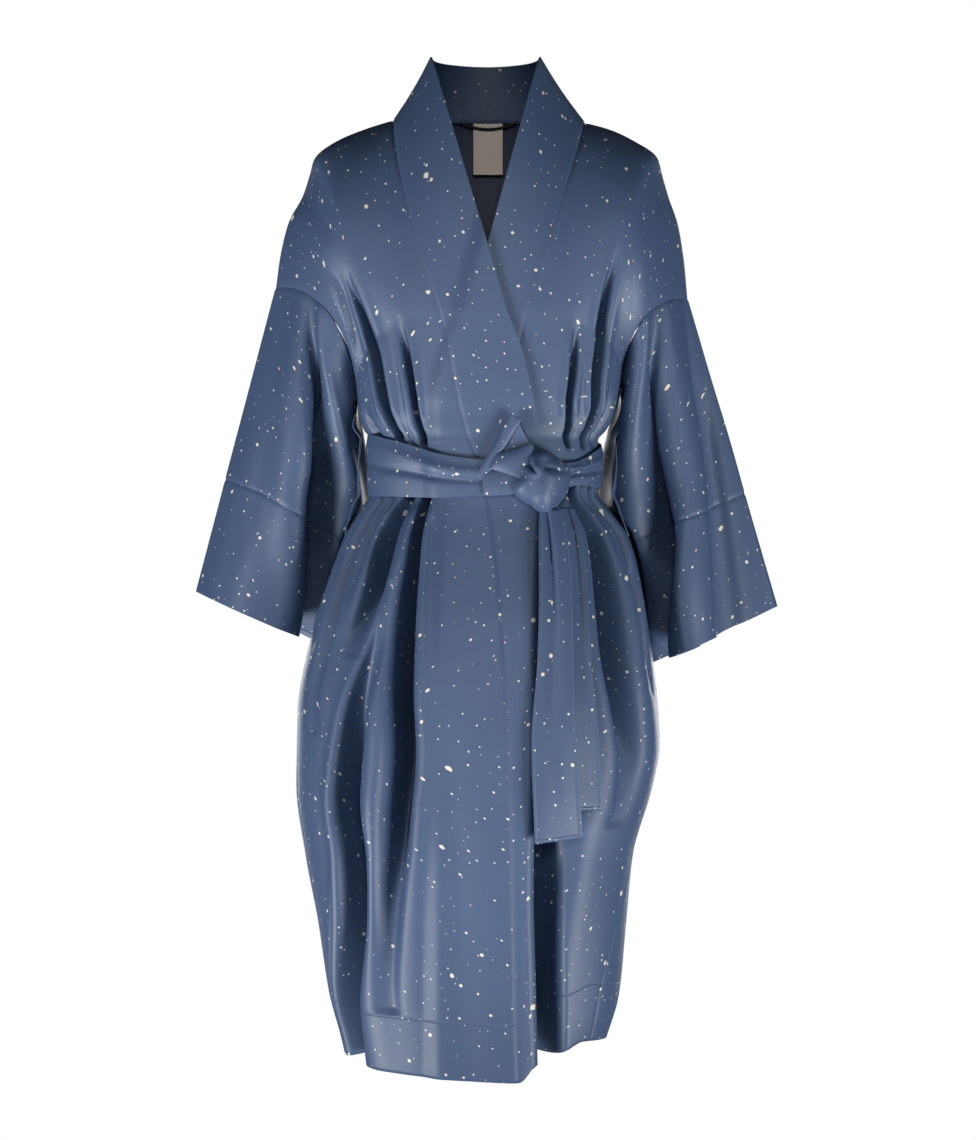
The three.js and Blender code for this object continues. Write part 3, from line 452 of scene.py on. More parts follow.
def cloth_places(grid, loop=False):
    """Flat places of a grid's points in metres, measured along the cloth. A loop gets one more column."""
    closed = np.concatenate([grid, grid[:, :1]], 1) if loop else grid
    down = np.linalg.norm(np.diff(closed, axis=0), axis=-1).mean(1)
    v = np.concatenate([[0], -np.cumsum(down)])[:, None]
    wide = np.linalg.norm(np.diff(closed, axis=1), axis=-1)
    u = np.concatenate([np.zeros((len(grid), 1)), np.cumsum(wide, 1)], 1)
    u = u - u[:, u.shape[1] // 2][:, None]
    return np.stack(np.broadcast_arrays(u, v), -1) * MM


def roll_edges(grid, normal, edges):
    """Rolls the named edges of a grid under, as a sewn or turned edge does."""
    sunk = np.zeros(grid.shape[:2])
    lines = {"top": grid[:1], "bottom": grid[-1:], "start": grid[:, :1], "end": grid[:, -1:]}
    for name in edges:
        away = np.linalg.norm(grid - lines[name], axis=-1)
        sunk = np.maximum(sunk, np.exp(-((away / SEAM_ROLL["reach"]) ** 2)))
    return grid - normal * (sunk * SEAM_ROLL["deep"])[..., None]


def grid_faces(rows, before, after, width):
    """The corners of every face of a grid that is so many points wide, between columns before and after."""
    upper = np.arange(rows - 1)[:, None] * width
    lower = upper + width
    return np.stack([upper + before, upper + after, lower + after, lower + before], -1).reshape(-1, 4)


def rim_faces(first, second, offset):
    """Faces that close a shell along one edge, from its outer points to the inner ones behind them."""
    return np.stack([second, first, first + offset, second + offset], -1)


def shell(name, grid, flip, wall, materials, loop=False, edges=(), stitch=NO_STITCH, shift=(0, 0)):
    """A thin closed shell behind a grid of outer points, with flat cloth places as its UV map in metres.

    Flip is 1 or -1, to turn the outer face outward. The second material, if there is one, is for the inner
    face. Stitch is how far each point is from a seam's stitching, and shift moves the piece's places on the
    printed cloth.
    """
    normal = normals(grid, flip, loop)
    outer = roll_edges(grid, normal, edges)
    inner = outer - normal * wall
    rows, columns = grid.shape[:2]
    places = cloth_places(grid, loop) + np.array(shift)
    before = np.arange(columns if loop else columns - 1)
    after = before + 1
    faces, flats = [], []
    for kept, wrapped, width, offset in (
        (faces, after % columns, columns, rows * columns),
        (flats, after, places.shape[1], 0),
    ):
        front = grid_faces(rows, before, wrapped, width)
        last = (rows - 1) * width
        kept += [front, front[:, ::-1] + offset]
        kept += [rim_faces(before, wrapped, offset), rim_faces(last + wrapped, last + before, offset)]
        if not loop:
            side = np.arange(rows - 1) * width
            end = side + columns - 1
            kept += [rim_faces(side + width, side, offset), rim_faces(end, end + width, offset)]
    behind = len(materials) - 1
    material_index = np.concatenate([np.full(len(some), behind * (k == 1)) for k, some in enumerate(faces)])
    corners = [3, 0, 1, 2] if flip > 0 else [0, 3, 2, 1]
    faces = np.concatenate(faces)[:, corners]
    flats = np.concatenate(flats)[:, corners]
    mesh = bpy.data.meshes.new(name)
    points = np.concatenate([outer.reshape(-1, 3), inner.reshape(-1, 3)]) * MM
    mesh.from_pydata(points.tolist(), [], faces.tolist())
    uv = places.reshape(-1, 2)[flats.ravel()]
    mesh.uv_layers.new(name="cloth").data.foreach_set("uv", uv.ravel())
    away = np.broadcast_to(stitch, (rows, columns)).ravel() * MM
    attribute = mesh.attributes.new("stitch", "FLOAT", "POINT")
    attribute.data.foreach_set("value", np.concatenate([away, away]).astype(np.float32))
    for material in materials:
        mesh.materials.append(material)
    mesh.polygons.foreach_set("material_index", material_index.astype(np.int32))
    mesh.polygons.foreach_set("use_smooth", np.ones(len(faces), bool))
    mesh.validate()
    piece = bpy.data.objects.new(name, mesh)
    bpy.context.scene.collection.objects.link(piece)
    return piece


# Colours are linear red, green and blue. Texture scales are per metre of cloth, and heights are in metres.
SATEEN_BLUE = (0.043, 0.074, 0.148)
SATEEN_INSIDE = (0.028, 0.040, 0.080)
SATEEN_ROUGHNESS = {"printed": 0.52, "inside": 0.6}
SATEEN_GLOSS = 0.5
SHADE = {"noise": {"Scale": 9, "Detail": 4}, "low": 0.9, "high": 1.1}
FLECK_CREAM = (0.62, 0.58, 0.50)
FLECK_SIZES = (
    {"Cells per metre": 62, "Share": 0.5, "Smallest": 0.0006, "Largest": 0.0013},
    {"Cells per metre": 29, "Share": 0.6, "Smallest": 0.0010, "Largest": 0.0024},
    {"Cells per metre": 13, "Share": 0.4, "Smallest": 0.0018, "Largest": 0.0038},
)
FLECK_SHIFT = (3.17, 1.31)
FLECK_WOBBLE = {"Scale": 260, "Detail": 1}
FLECK_UNEVEN = (0.9, 0.55)
FLECK_SMALL_POWER = 2
FLECK_EDGE_SHARPNESS = 4000
WEAVE_DRAWN = (1, 0.12, 1)
SOFT_NOISE = {"Scale": 16, "Detail": 3, "Roughness": 0.45}
THREAD_BLUE = (0.075, 0.12, 0.22)
THREAD_ON_SHARE = 0.72
STITCH_DENT = -0.0005


def new_effect(name, numbers, puts):
    """An empty node group that reads a flat cloth place and some numbers, with its input and output nodes."""
    group = bpy.data.node_groups.new(name, "ShaderNodeTree")
    for number, default in numbers.items():
        socket = group.interface.new_socket(number, in_out="INPUT", socket_type="NodeSocketFloat")
        socket.default_value = default
    group.interface.new_socket("Place", in_out="INPUT", socket_type="NodeSocketVector")
    for put in puts:
        group.interface.new_socket(put, in_out="OUTPUT", socket_type="NodeSocketFloat")
    return group, group.nodes.new("NodeGroupInput"), group.nodes.new("NodeGroupOutput")


def math_node(tree, operation, *values):
    """What a math node makes of other nodes' sockets or plain numbers."""
    node = tree.nodes.new("ShaderNodeMath")
    node.operation = operation
    for socket, value in zip(node.inputs, values):
        if isinstance(value, (int, float)):
            socket.default_value = value
        else:
            tree.links.new(value, socket)
    return node.outputs[0]


def noise_node(tree, place, settings):
    """A noise texture at a place."""
    node = tree.nodes.new("ShaderNodeTexNoise")
    for name, value in settings.items():
        node.inputs[name].default_value = value
    tree.links.new(place, node.inputs["Vector"])
    return node


def fleck_group():
    """Random round flecks of many sizes on flat cloth places in metres, as a mask."""
    numbers = {"Cells per metre": 20, "Share": 0.4, "Smallest": 0.001, "Largest": 0.003}
    group, given, put = new_effect("Spattered flecks", numbers, ["Mask"])
    wobble = noise_node(group, given.outputs["Place"], FLECK_WOBBLE)
    cells = group.nodes.new("ShaderNodeTexVoronoi")
    cells.voronoi_dimensions = "2D"
    group.links.new(given.outputs["Place"], cells.inputs["Vector"])
    group.links.new(given.outputs["Cells per metre"], cells.inputs["Scale"])
    random = group.nodes.new("ShaderNodeSeparateColor")
    group.links.new(cells.outputs["Color"], random.inputs[0])
    chosen = math_node(group, "LESS_THAN", random.outputs[0], given.outputs["Share"])
    spread = math_node(group, "POWER", random.outputs[1], FLECK_SMALL_POWER)
    span = math_node(group, "SUBTRACT", given.outputs["Largest"], given.outputs["Smallest"])
    radius = math_node(group, "MULTIPLY_ADD", spread, span, given.outputs["Smallest"])
    uneven = math_node(group, "MULTIPLY_ADD", wobble.outputs[0], *FLECK_UNEVEN)
    away = math_node(group, "DIVIDE", cells.outputs["Distance"], given.outputs["Cells per metre"])
    edge = math_node(group, "SUBTRACT", math_node(group, "MULTIPLY", radius, uneven), away)
    sharp = math_node(group, "MULTIPLY", edge, FLECK_EDGE_SHARPNESS)
    inside = math_node(group, "MINIMUM", math_node(group, "MAXIMUM", sharp, 0), 1)
    group.links.new(math_node(group, "MULTIPLY", inside, chosen), put.inputs["Mask"])
    return group


def weave_group():
    """The satin's fine warp floats and the soft unevenness of the cloth, as heights in metres."""
    numbers = {"Threads per metre": 2600, "Thread height": 0.00004, "Soft height": 0.0006}
    group, given, put = new_effect("Satin weave", numbers, ["Height"])
    drawn = group.nodes.new("ShaderNodeVectorMath")
    drawn.operation = "MULTIPLY"
    drawn.inputs[1].default_value = WEAVE_DRAWN
    group.links.new(given.outputs["Place"], drawn.inputs[0])
    threads = noise_node(group, drawn.outputs[0], {"Detail": 2})
    group.links.new(given.outputs["Threads per metre"], threads.inputs["Scale"])
    soft = noise_node(group, given.outputs["Place"], SOFT_NOISE)
    fine = math_node(group, "MULTIPLY", threads.outputs[0], given.outputs["Thread height"])
    total = math_node(group, "MULTIPLY_ADD", soft.outputs[0], given.outputs["Soft height"], fine)
    group.links.new(total, put.inputs["Height"])
    return group


def stitch_group():
    """A line of lockstitch where Away is zero, as a thread mask and the dent that it is pulled into."""
    numbers = {"Stitch length": 0.003, "Thread width": 0.0005, "Dent width": 0.0016, "Away": 0}
    group, given, put = new_effect("Stitch line", numbers, ["Thread", "Dent"])
    flat = group.nodes.new("ShaderNodeSeparateXYZ")
    group.links.new(given.outputs["Place"], flat.inputs[0])
    run = math_node(group, "ADD", flat.outputs[0], flat.outputs[1])
    beat = math_node(group, "FRACT", math_node(group, "DIVIDE", run, given.outputs["Stitch length"]))
    on = math_node(group, "LESS_THAN", beat, THREAD_ON_SHARE)
    away = math_node(group, "ABSOLUTE", given.outputs["Away"])
    half_thread = math_node(group, "MULTIPLY", given.outputs["Thread width"], 0.5)
    thread = math_node(group, "LESS_THAN", away, half_thread)
    group.links.new(math_node(group, "MULTIPLY", thread, on), put.inputs["Thread"])
    near = math_node(group, "SUBTRACT", 1, math_node(group, "DIVIDE", away, given.outputs["Dent width"]))
    group.links.new(math_node(group, "MAXIMUM", near, 0), put.inputs["Dent"])
    return group


FLECKS = fleck_group()
WEAVE = weave_group()
STITCHES = stitch_group()


def placed(tree, group, values, place):
    """One of the shared effects in a material, with its own values, reading the flat cloth place."""
    node = tree.nodes.new("ShaderNodeGroup")
    node.node_tree = group
    for name, value in values.items():
        node.inputs[name].default_value = value
    tree.links.new(place, node.inputs["Place"])
    return node


def shaded(tree, value, color, low, high):
    """A colour between two shades of itself, from low to high as a value rises."""
    ramp = tree.nodes.new("ShaderNodeValToRGB")
    for element, shade in zip(ramp.color_ramp.elements, (low, high)):
        element.color = (*(c * shade for c in color), 1)
    tree.links.new(value, ramp.inputs[0])
    return ramp.outputs[0]


def painted(tree, under, over, mask):
    """A colour laid over another where the mask is 1."""
    node = tree.nodes.new("ShaderNodeMix")
    node.data_type = "RGBA"
    node.inputs["B"].default_value = (*over, 1)
    tree.links.new(under, node.inputs["A"])
    tree.links.new(mask, node.inputs["Factor"])
    return node.outputs["Result"]


def bumped(tree, height):
    """The normal of a surface raised by a height in metres."""
    bump = tree.nodes.new("ShaderNodeBump")
    bump.inputs["Strength"].default_value = 1
    bump.inputs["Distance"].default_value = 1
    tree.links.new(height, bump.inputs["Height"])
    return bump.outputs[0]


def new_cloth_material(name, roughness):
    """A new material, with its shader and the flat cloth place from the UV map."""
    material = bpy.data.materials.new(name)
    material.use_nodes = True
    tree = material.node_tree
    shader = tree.nodes["Principled BSDF"]
    shader.inputs["Roughness"].default_value = roughness
    uv = tree.nodes.new("ShaderNodeUVMap")
    uv.uv_map = "cloth"
    return material, tree, shader, uv.outputs[0]


def sateen(name, blue, fleck_sizes, roughness):
    """Satin-woven cotton, printed with random cream flecks or, as its wrong side, plain."""
    material, tree, shader, place = new_cloth_material(name, roughness)
    shader.inputs["Specular IOR Level"].default_value = SATEEN_GLOSS
    shade = noise_node(tree, place, SHADE["noise"])
    color = shaded(tree, shade.outputs[0], blue, SHADE["low"], SHADE["high"])
    masks = []
    for k, sizes in enumerate(fleck_sizes):
        moved = tree.nodes.new("ShaderNodeVectorMath")
        moved.operation = "ADD"
        moved.inputs[1].default_value = (FLECK_SHIFT[0] * k, FLECK_SHIFT[1] * k, 0)
        tree.links.new(place, moved.inputs[0])
        masks.append(placed(tree, FLECKS, sizes, moved.outputs[0]).outputs["Mask"])
    if masks:
        mask = masks[0]
        for other in masks[1:]:
            mask = math_node(tree, "MAXIMUM", mask, other)
        color = painted(tree, color, FLECK_CREAM, mask)
    away = tree.nodes.new("ShaderNodeAttribute")
    away.attribute_name = "stitch"
    stitches = placed(tree, STITCHES, {}, place)
    tree.links.new(away.outputs["Fac"], stitches.inputs["Away"])
    color = painted(tree, color, THREAD_BLUE, stitches.outputs["Thread"])
    tree.links.new(color, shader.inputs["Base Color"])
    weave = placed(tree, WEAVE, {}, place)
    dented = math_node(tree, "MULTIPLY_ADD", stitches.outputs["Dent"], STITCH_DENT, weave.outputs["Height"])
    tree.links.new(bumped(tree, dented), shader.inputs["Normal"])
    return material


PRINTED = sateen("Printed sateen", SATEEN_BLUE, FLECK_SIZES, SATEEN_ROUGHNESS["printed"])
WRONG_SIDE = sateen("Sateen, wrong side", SATEEN_INSIDE, (), SATEEN_ROUGHNESS["inside"])


def dress(piece, node, flat, area, held="hung", slot="sateen"):
    """Parents a piece to the root and hides the solid that it stands for. Flat, area, held and slot are not
    used.
    """
    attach(piece, "root")
    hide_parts(node)


HEM_DEEP = 70


def from_hem_stitch(grid):
    """How far each point of a panel is above the stitching of its turned-up hem."""
    steps = np.linalg.norm(np.diff(grid, axis=0), axis=-1).mean(1)
    down = np.concatenate([[0], np.cumsum(steps)])
    return (down[-1] - HEM_DEEP - down)[:, None]


for front, wearer_side, shift in (("over", "right", (0, 0)), ("under", "left", (2.3, 0.7))):
    cut = FRONTS[front]
    panel = front_grid(front, spaced(0, 1, FRONT_COLUMNS))
    piece = shell(
        f"front_{wearer_side}_cloth", panel, cut["flip"], CLOTH_WALL, [PRINTED, WRONG_SIDE],
        edges=("top", "start", "end"), stitch=from_hem_stitch(panel), shift=shift,
    )
    dress(piece, f"front_{wearer_side}", *cut["panel"], held="gathered")
    band = front_grid(front, spaced(-1, 0, BAND_COLUMNS))
    piece = shell(
        f"band_{wearer_side}_cloth", band, cut["flip"], BAND_WALL, [PRINTED],
        edges=("top", "end"), shift=(shift[0] + 0.9, 0.3),
    )
    dress(piece, f"band_{wearer_side}", *cut["band"])

# The back, cut in one piece from the neck to the hem, of the same cloth, and sewn to the fronts at the
# shoulders and sides. The sash gathers it into the same kind of folds.
NECK_SHARE = 0.22
NECK_SHARE_BELOW = 0.34
BACK_NECK = {"y": 76, "z": 9}
NECK_CURVE = {"y": 0.8, "z": 1.2, "below": 1.2}
BACK_COLUMNS = 150
BACK_FOLDS = named(
    FOLD_COLUMNS,
    (0.8, 1.45, 2, -0.66, -0.6, -0.55, 11, 9, 4, 0, 19, 18, 0.2),
    (0.6, 1.4, 2, -0.3, -0.27, -0.26, 11, 9, 4, 0, 17, 18, -0.2),
    (0.7, 1.4, 2, 0.16, 0.18, 0.2, 11, 9, 4, 0, 17, 18, 0.2),
    (0.8, 1.45, 2, 0.6, 0.56, 0.52, 11, 9, 4, 0, 19, 18, -0.2),
    (2, 2.28, 2.8, -0.66, -0.62, -0.66, 4, 12, 16, 16, 28, 4, -0.3),
    (2, 2.42, 3.05, -0.3, -0.31, -0.36, 4, 12, 17, 18, 34, 12, 0.25),
    (2, 2.22, 2.6, -0.02, -0.03, 0, 4, 10, 14, 16, 24, 2, 0),
    (2, 2.45, 3.05, 0.25, 0.28, 0.36, 4, 12, 17, 18, 34, 14, -0.25),
    (2, 2.3, 2.75, 0.56, 0.6, 0.64, 4, 12, 16, 16, 27, 3, 0.3),
)
BACK_CREASES = named(
    FOLD_COLUMNS,
    (1.5, 1.8, 2, -0.8, -0.76, -0.72, 4, 5, 3, 0, 5, 7, 0),
    (1.4, 1.75, 2, -0.45, -0.43, -0.4, 4, 5, 3, 0, 5, 7, 0),
    (1.3, 1.7, 2, -0.06, -0.05, -0.04, 5, 5, 3, 0, 6, 8, 0.2),
    (1.45, 1.8, 2, 0.38, 0.37, 0.36, 4, 5, 3, 0, 5, 7, 0),
    (1.5, 1.8, 2, 0.76, 0.72, 0.68, 4, 5, 3, 0, 5, 7, 0),
    (2, 2.12, 2.36, -0.82, -0.84, -0.87, 3, 5, 7, 7, 7, 0, 0),
    (2, 2.1, 2.26, -0.47, -0.48, -0.5, 3, 5, 6, 7, 6, 0, 0),
    (2, 2.14, 2.4, -0.16, -0.17, -0.2, 3, 5, 7, 7, 7, 0, 0.2),
    (2, 2.12, 2.3, 0.12, 0.13, 0.15, 3, 5, 6, 7, 6, 0, 0),
    (2, 2.1, 2.28, 0.42, 0.43, 0.46, 3, 5, 7, 7, 7, 0, 0),
    (2, 2.12, 2.34, 0.78, 0.8, 0.83, 3, 5, 6, 7, 6, 0, 0),
)


def neck_seam(turn):
    """The neck edge, from the shoulder at -X (-1) round the back to the other one (1)."""
    left = shoulder_point("left", np.zeros_like(turn))
    right = shoulder_point("right", np.zeros_like(turn))
    foot = np.where((turn < 0)[..., None], left, right)
    a = np.abs(turn) * math.pi / 2
    level = np.abs(np.cos(a))
    z = mix(BACK_NECK["z"], foot[..., 2], 1 - level ** NECK_CURVE["z"])
    return np.stack([foot[..., 0] * np.sin(a), BACK_NECK["y"] * level ** NECK_CURVE["y"], z], -1)


def back_base(across, row):
    """The back before its folds. Across: -1 the side at -X, 0 the middle, 1 the side at +X."""
    across, row = np.broadcast_arrays(np.asarray(across, float), np.asarray(row, float))
    away = np.abs(across)
    beyond = np.maximum(0, (away - NECK_SHARE) / (1 - NECK_SHARE))
    in_neck = away < NECK_SHARE
    below = np.where(in_neck, away / NECK_SHARE * NECK_SHARE_BELOW, mix(NECK_SHARE_BELOW, 1, beyond))
    at_left = across < 0
    chest_side = np.where(at_left, CHEST_ROW["left"], CHEST_ROW["right"])
    chest_z = mix(CHEST_ROW["back"], chest_side, below ** CHEST_POWER["back"])
    low_row = np.maximum(row, 1)
    z = chest_z
    for again in (True, False):
        seam = np.where(at_left, read(SIDE_SEAMS, "left", z), read(SIDE_SEAMS, "right", z))
        angle = np.where(at_left, mix(-180, seam, below), mix(180, seam, below))
        if again:
            hem_z = np.where(at_left, read(OVER_HEM, "z", angle), read(UNDER_HEM, "z", angle))
            z = row_height(low_row, chest_z, hem_z)
    low = ring_point(angle, z)
    shoulder = np.where(at_left[..., None], shoulder_point("left", beyond), shoulder_point("right", beyond))
    neck = neck_seam(np.clip(across / NECK_SHARE, -1, 1))
    top = np.where(in_neck[..., None], neck, shoulder)
    swing = np.minimum(row, 1) * math.pi / 2
    fall = 1 - np.cos(swing)
    spread = ease(0, 1, beyond)
    bulge = ARMHOLE_BULGE["back"] * spread * np.sin(math.pi * np.minimum(row, 1))
    x = mix(top[..., 0], low[..., 0], mix(fall ** NECK_CURVE["below"], np.sin(swing), spread))
    y = mix(top[..., 1], low[..., 1], np.sin(swing)) + bulge
    yoke = np.stack([x, y, mix(top[..., 2], low[..., 2], fall)], -1)
    return np.where((row >= 1)[..., None], low, yoke)


row = cloth_rows()
shares = spaced(-1, 1, BACK_COLUMNS)
grid = back_base(shares[None, :], row)
fade = 1 - ease(*SIDE_FADE, np.abs(shares))
deep = fold_depth(BACK_FOLDS, back_base, grid, row, shares, FOLD_POWER)
deep = deep + fold_depth(BACK_CREASES, back_base, grid, row, shares, CREASE_POWER)
grid = grid - normals(grid, 1) * (deep * fade)[..., None]
piece = shell(
    "back_cloth", grid, 1, CLOTH_WALL, [PRINTED, WRONG_SIDE],
    edges=("top", "start", "end"), stitch=from_hem_stitch(grid), shift=(5.1, 1.9),
)
dress(piece, "back", (0.8, 1.16), 0.76, held="gathered")

# The stand collar: a doubled strip of the printed cloth, sewn to the neck edge and run on into both bands.
COLLAR_STAND = {"narrow": 0.012, "inward": 1.6, "up": -2.5}
COLLAR_BACK_TOP = {"y": 86, "z": 79}
COLLAR_POWER = {"stand": 4, "ends": 1.6}
COLLAR_COLUMNS = 96
COLLAR_ROWS = 22


def collar_surface(turn, up):
    """The collar. Turn: -1 the shoulder at -X, 1 the other one. Up: 0 the seam, 1 the free edge."""
    turn, up = np.broadcast_arrays(np.asarray(turn, float), np.asarray(up, float))
    a = np.abs(turn) * math.pi / 2
    stand = 1 - np.abs(turn) ** COLLAR_POWER["stand"]
    seam = neck_seam(turn)
    seam[..., 0] *= 1 - COLLAR_STAND["narrow"] * stand
    seam[..., 1] -= COLLAR_STAND["inward"] * stand
    seam[..., 2] += COLLAR_STAND["up"] * stand
    left = collar_side("left", up) - collar_side("left", 0 * up)
    right = collar_side("right", up) - collar_side("right", 0 * up)
    ends = np.where((turn < 0)[..., None], left, right)
    middle = np.array([0, COLLAR_BACK_TOP["y"] - BACK_NECK["y"], COLLAR_BACK_TOP["z"] - BACK_NECK["z"]])
    to_ends = np.sin(a) ** COLLAR_POWER["ends"]
    return seam + mix(middle * up[..., None], ends, to_ends[..., None])


grid = collar_surface(spaced(-1, 1, COLLAR_COLUMNS)[None, :], spaced(0, 1, COLLAR_ROWS)[:, None])
piece = shell(
    "collar_cloth", grid, -1, BAND_WALL, [PRINTED], edges=("top", "start", "end"), shift=(7.3, 2.9)
)
dress(piece, "collar", (0.27, 0.09), 0.0215)

# The sleeves: wide straight tubes of the same cloth, sewn into the dropped armholes, and the deep doubled
# cuffs sewn to their ends with small puckers. They hang just clear of the body.
CUFF_SHARE = 0.63
SLEEVE_CLEAR = {"gap": 6, "full_down": 0.12, "below_chest": 12}
SLEEVE_POWER = 3
SLEEVE_PULL_HALF = 0.16
ARMHOLE_STEP = {"out": 1.2, "round": (0.08, 0.36), "down": (0, 0.03)}
SLEEVE_COLUMNS = 132
SLEEVE_ROWS = 84
CUFF_ROWS = 48
# Round runs from the outer fold (0) over the front to the inner fold (0.5) and back. Arm is the place on the
# armhole above it: 0 its top, 1 its foot, 2 its top again. Pull moves the inner fold at half its length.
SLEEVES = {
    "left": {
        "hem": {"outer_z": -565, "slope": -0.43},
        "pull": (30, 14),
        "ring": named(
            "round x y arm",
            (0, -354, 38, 0),
            (0.08, -330, 6, 0.1),
            (0.2, -292, -16, 0.32),
            (0.3, -252, -8, 0.56),
            (0.38, -226, 30, 0.74),
            (0.45, -206, 72, 0.9),
            (0.5, -188, 110, 1),
            (0.57, -212, 136, 1.12),
            (0.7, -262, 142, 1.36),
            (0.86, -322, 112, 1.72),
            (1, -354, 38, 2),
        ),
        "folds": named(
            FOLD_COLUMNS,
            (0, 0.5, 1.1, 0.2, 0.35, 0.43, 9, 23, 22, 4, 68, 56, 0),
            (0, 0.5, 1.1, 0.76, 0.76, 0.75, 14, 18, 20, 0, 22, 14, 0),
            (0.3, 0.6, 0.85, 0.16, 0.17, 0.2, 16, 20, 16, 0, 4, 0, 0),
        ),
    },
    "right": {
        "hem": {"outer_z": -583, "slope": 0.45},
        "pull": (-42, 14),
        "ring": named(
            "round x y arm",
            (0, 352, 52, 0),
            (0.09, 308, 28, 0.02),
            (0.16, 266, 14, 0.05),
            (0.2, 271, -16, 0.08),
            (0.27, 246, -34, 0.3),
            (0.35, 219, -8, 0.55),
            (0.43, 202, 50, 0.82),
            (0.5, 184, 108, 1),
            (0.58, 218, 140, 1.12),
            (0.72, 276, 144, 1.38),
            (0.88, 330, 112, 1.76),
            (1, 352, 52, 2),
        ),
        "folds": named(
            FOLD_COLUMNS,
            (0, 0.5, 1.1, 0.28, 0.315, 0.41, 12, 24, 22, 8, 68, 50, 0),
            (0, 0.5, 1.1, 0.74, 0.75, 0.76, 14, 18, 20, 0, 22, 14, 0),
            (0.2, 0.5, 1.1, 0.09, 0.1, 0.11, 12, 14, 16, 0, 9, 5, -0.2),
        ),
    },
}


def side_reach(side, y, z):
    """How far to the side the body's ring reaches at a given depth and height."""
    depth = np.where(y < 0, read(BODY_RING, "front", z), read(BODY_RING, "back", z))
    cosine = np.clip(np.abs(y) / depth, 0, 1) ** (1 / OUTLINE_POWER)
    return read(BODY_RING, side, z) * np.sqrt(1 - cosine**2) ** OUTLINE_POWER


def clear_of_body(side, points, down):
    """Holds the points of a sleeve off the body beside it."""
    outward = -1 if side == "left" else 1
    x, y, z = points[..., 0], points[..., 1], points[..., 2]
    clear = side_reach(side, y, z) + SLEEVE_CLEAR["gap"] * ease(0, SLEEVE_CLEAR["full_down"], down)
    tight = 1 - ease(CHEST_ROW[side] - SLEEVE_CLEAR["below_chest"], CHEST_ROW[side], z)
    held = outward * mix(np.abs(x), np.maximum(np.abs(x), clear), tight)
    return np.stack([held, y, z], -1)


def sleeve_base(side, round_share, down):
    """A sleeve before its folds, from the armhole (down 0) to the cuff's edge (1), all the way round."""
    cut = SLEEVES[side]
    place, down = np.broadcast_arrays(np.asarray(round_share, float) % 1, np.asarray(down, float))
    x = read(cut["ring"], "x", place)
    hem_z = cut["hem"]["outer_z"] + cut["hem"]["slope"] * (x - cut["ring"]["x"][0])
    low = np.stack([x, read(cut["ring"], "y", place), hem_z], -1)
    arm = read(cut["ring"], "arm", place)
    outward = -1 if side == "left" else 1
    at_front = front_base("over" if side == "left" else "under", 1, np.clip(arm, 0, 1))
    at_back = back_base(outward, np.clip(2 - arm, 0, 1))
    armhole = np.where((arm > 1)[..., None], at_back, at_front)
    points = mix(armhole, low, down[..., None])
    inner = np.exp(-(((place - 0.5) / SLEEVE_PULL_HALF) ** 2)) * np.sin(math.pi * np.minimum(down, 1))
    points[..., 0] += cut["pull"][0] * inner
    points[..., 1] += cut["pull"][1] * inner
    step = ease(*ARMHOLE_STEP["round"], 0.5 - np.abs(place - 0.5)) * ease(*ARMHOLE_STEP["down"], down)
    points[..., 0] += outward * ARMHOLE_STEP["out"] * step
    return clear_of_body(side, points, down)


for side, wearer_side, flip in (("left", "right", -1), ("right", "left", 1)):
    rounds = np.linspace(0, 1, SLEEVE_COLUMNS, endpoint=False)[None, :]
    above_cuff = spaced(0, CUFF_SHARE, SLEEVE_ROWS)
    seam = len(above_cuff)
    downs = np.concatenate([above_cuff, spaced(CUFF_SHARE, 1, CUFF_ROWS)])[:, None]

    def base(round_share, down):
        return sleeve_base(side, round_share, down)

    grid = base(rounds, downs)
    folds = SLEEVES[side]["folds"]
    deep = fold_depth(folds, base, grid, downs, rounds, SLEEVE_POWER, under_sash=False)
    grid = clear_of_body(side, grid - normals(grid, flip, True) * deep[..., None], downs)
    sleeve = shell(
        f"sleeve_{wearer_side}_cloth", grid[:seam], flip, CLOTH_WALL, [PRINTED, WRONG_SIDE],
        loop=True, edges=("top", "bottom"), shift=(9.7 + flip, 3.7),
    )
    dress(sleeve, f"sleeve_{wearer_side}", (0.5, 0.26), 0.115)
    cuff = shell(
        f"cuff_{wearer_side}_cloth", grid[seam:], flip, BAND_WALL, [PRINTED],
        loop=True, edges=("top",), shift=(13.7 + flip, 4.7),
    )
    dress(cuff, f"cuff_{wearer_side}", (0.6, 0.16), 0.088)

# The sash: one doubled strap of the printed cloth about 6.5 cm wide, wound once round the waist and pulled
# narrow towards the knot. Soft creases run along it.
BELT_OFF = 1.8
BELT_WALL = 2.4
BELT_LIFT = {"starts": (-78, -54), "ends": (68, 108)}
BELT_PLACES = named(
    "angle middle half",
    (-180, -409, 34),
    (-90, -412.5, 38),
    (-46, -419.5, 33),
    (-3, -431, 22),
    (22, -431, 17),
    (45, -425.5, 14),
    (66, -420, 21),
    (90, -415, 26),
    (130, -411, 32),
    (180, -409, 34),
)
BELT_BOW = 2.2
CREASE_COLUMNS = "angle down half deep"
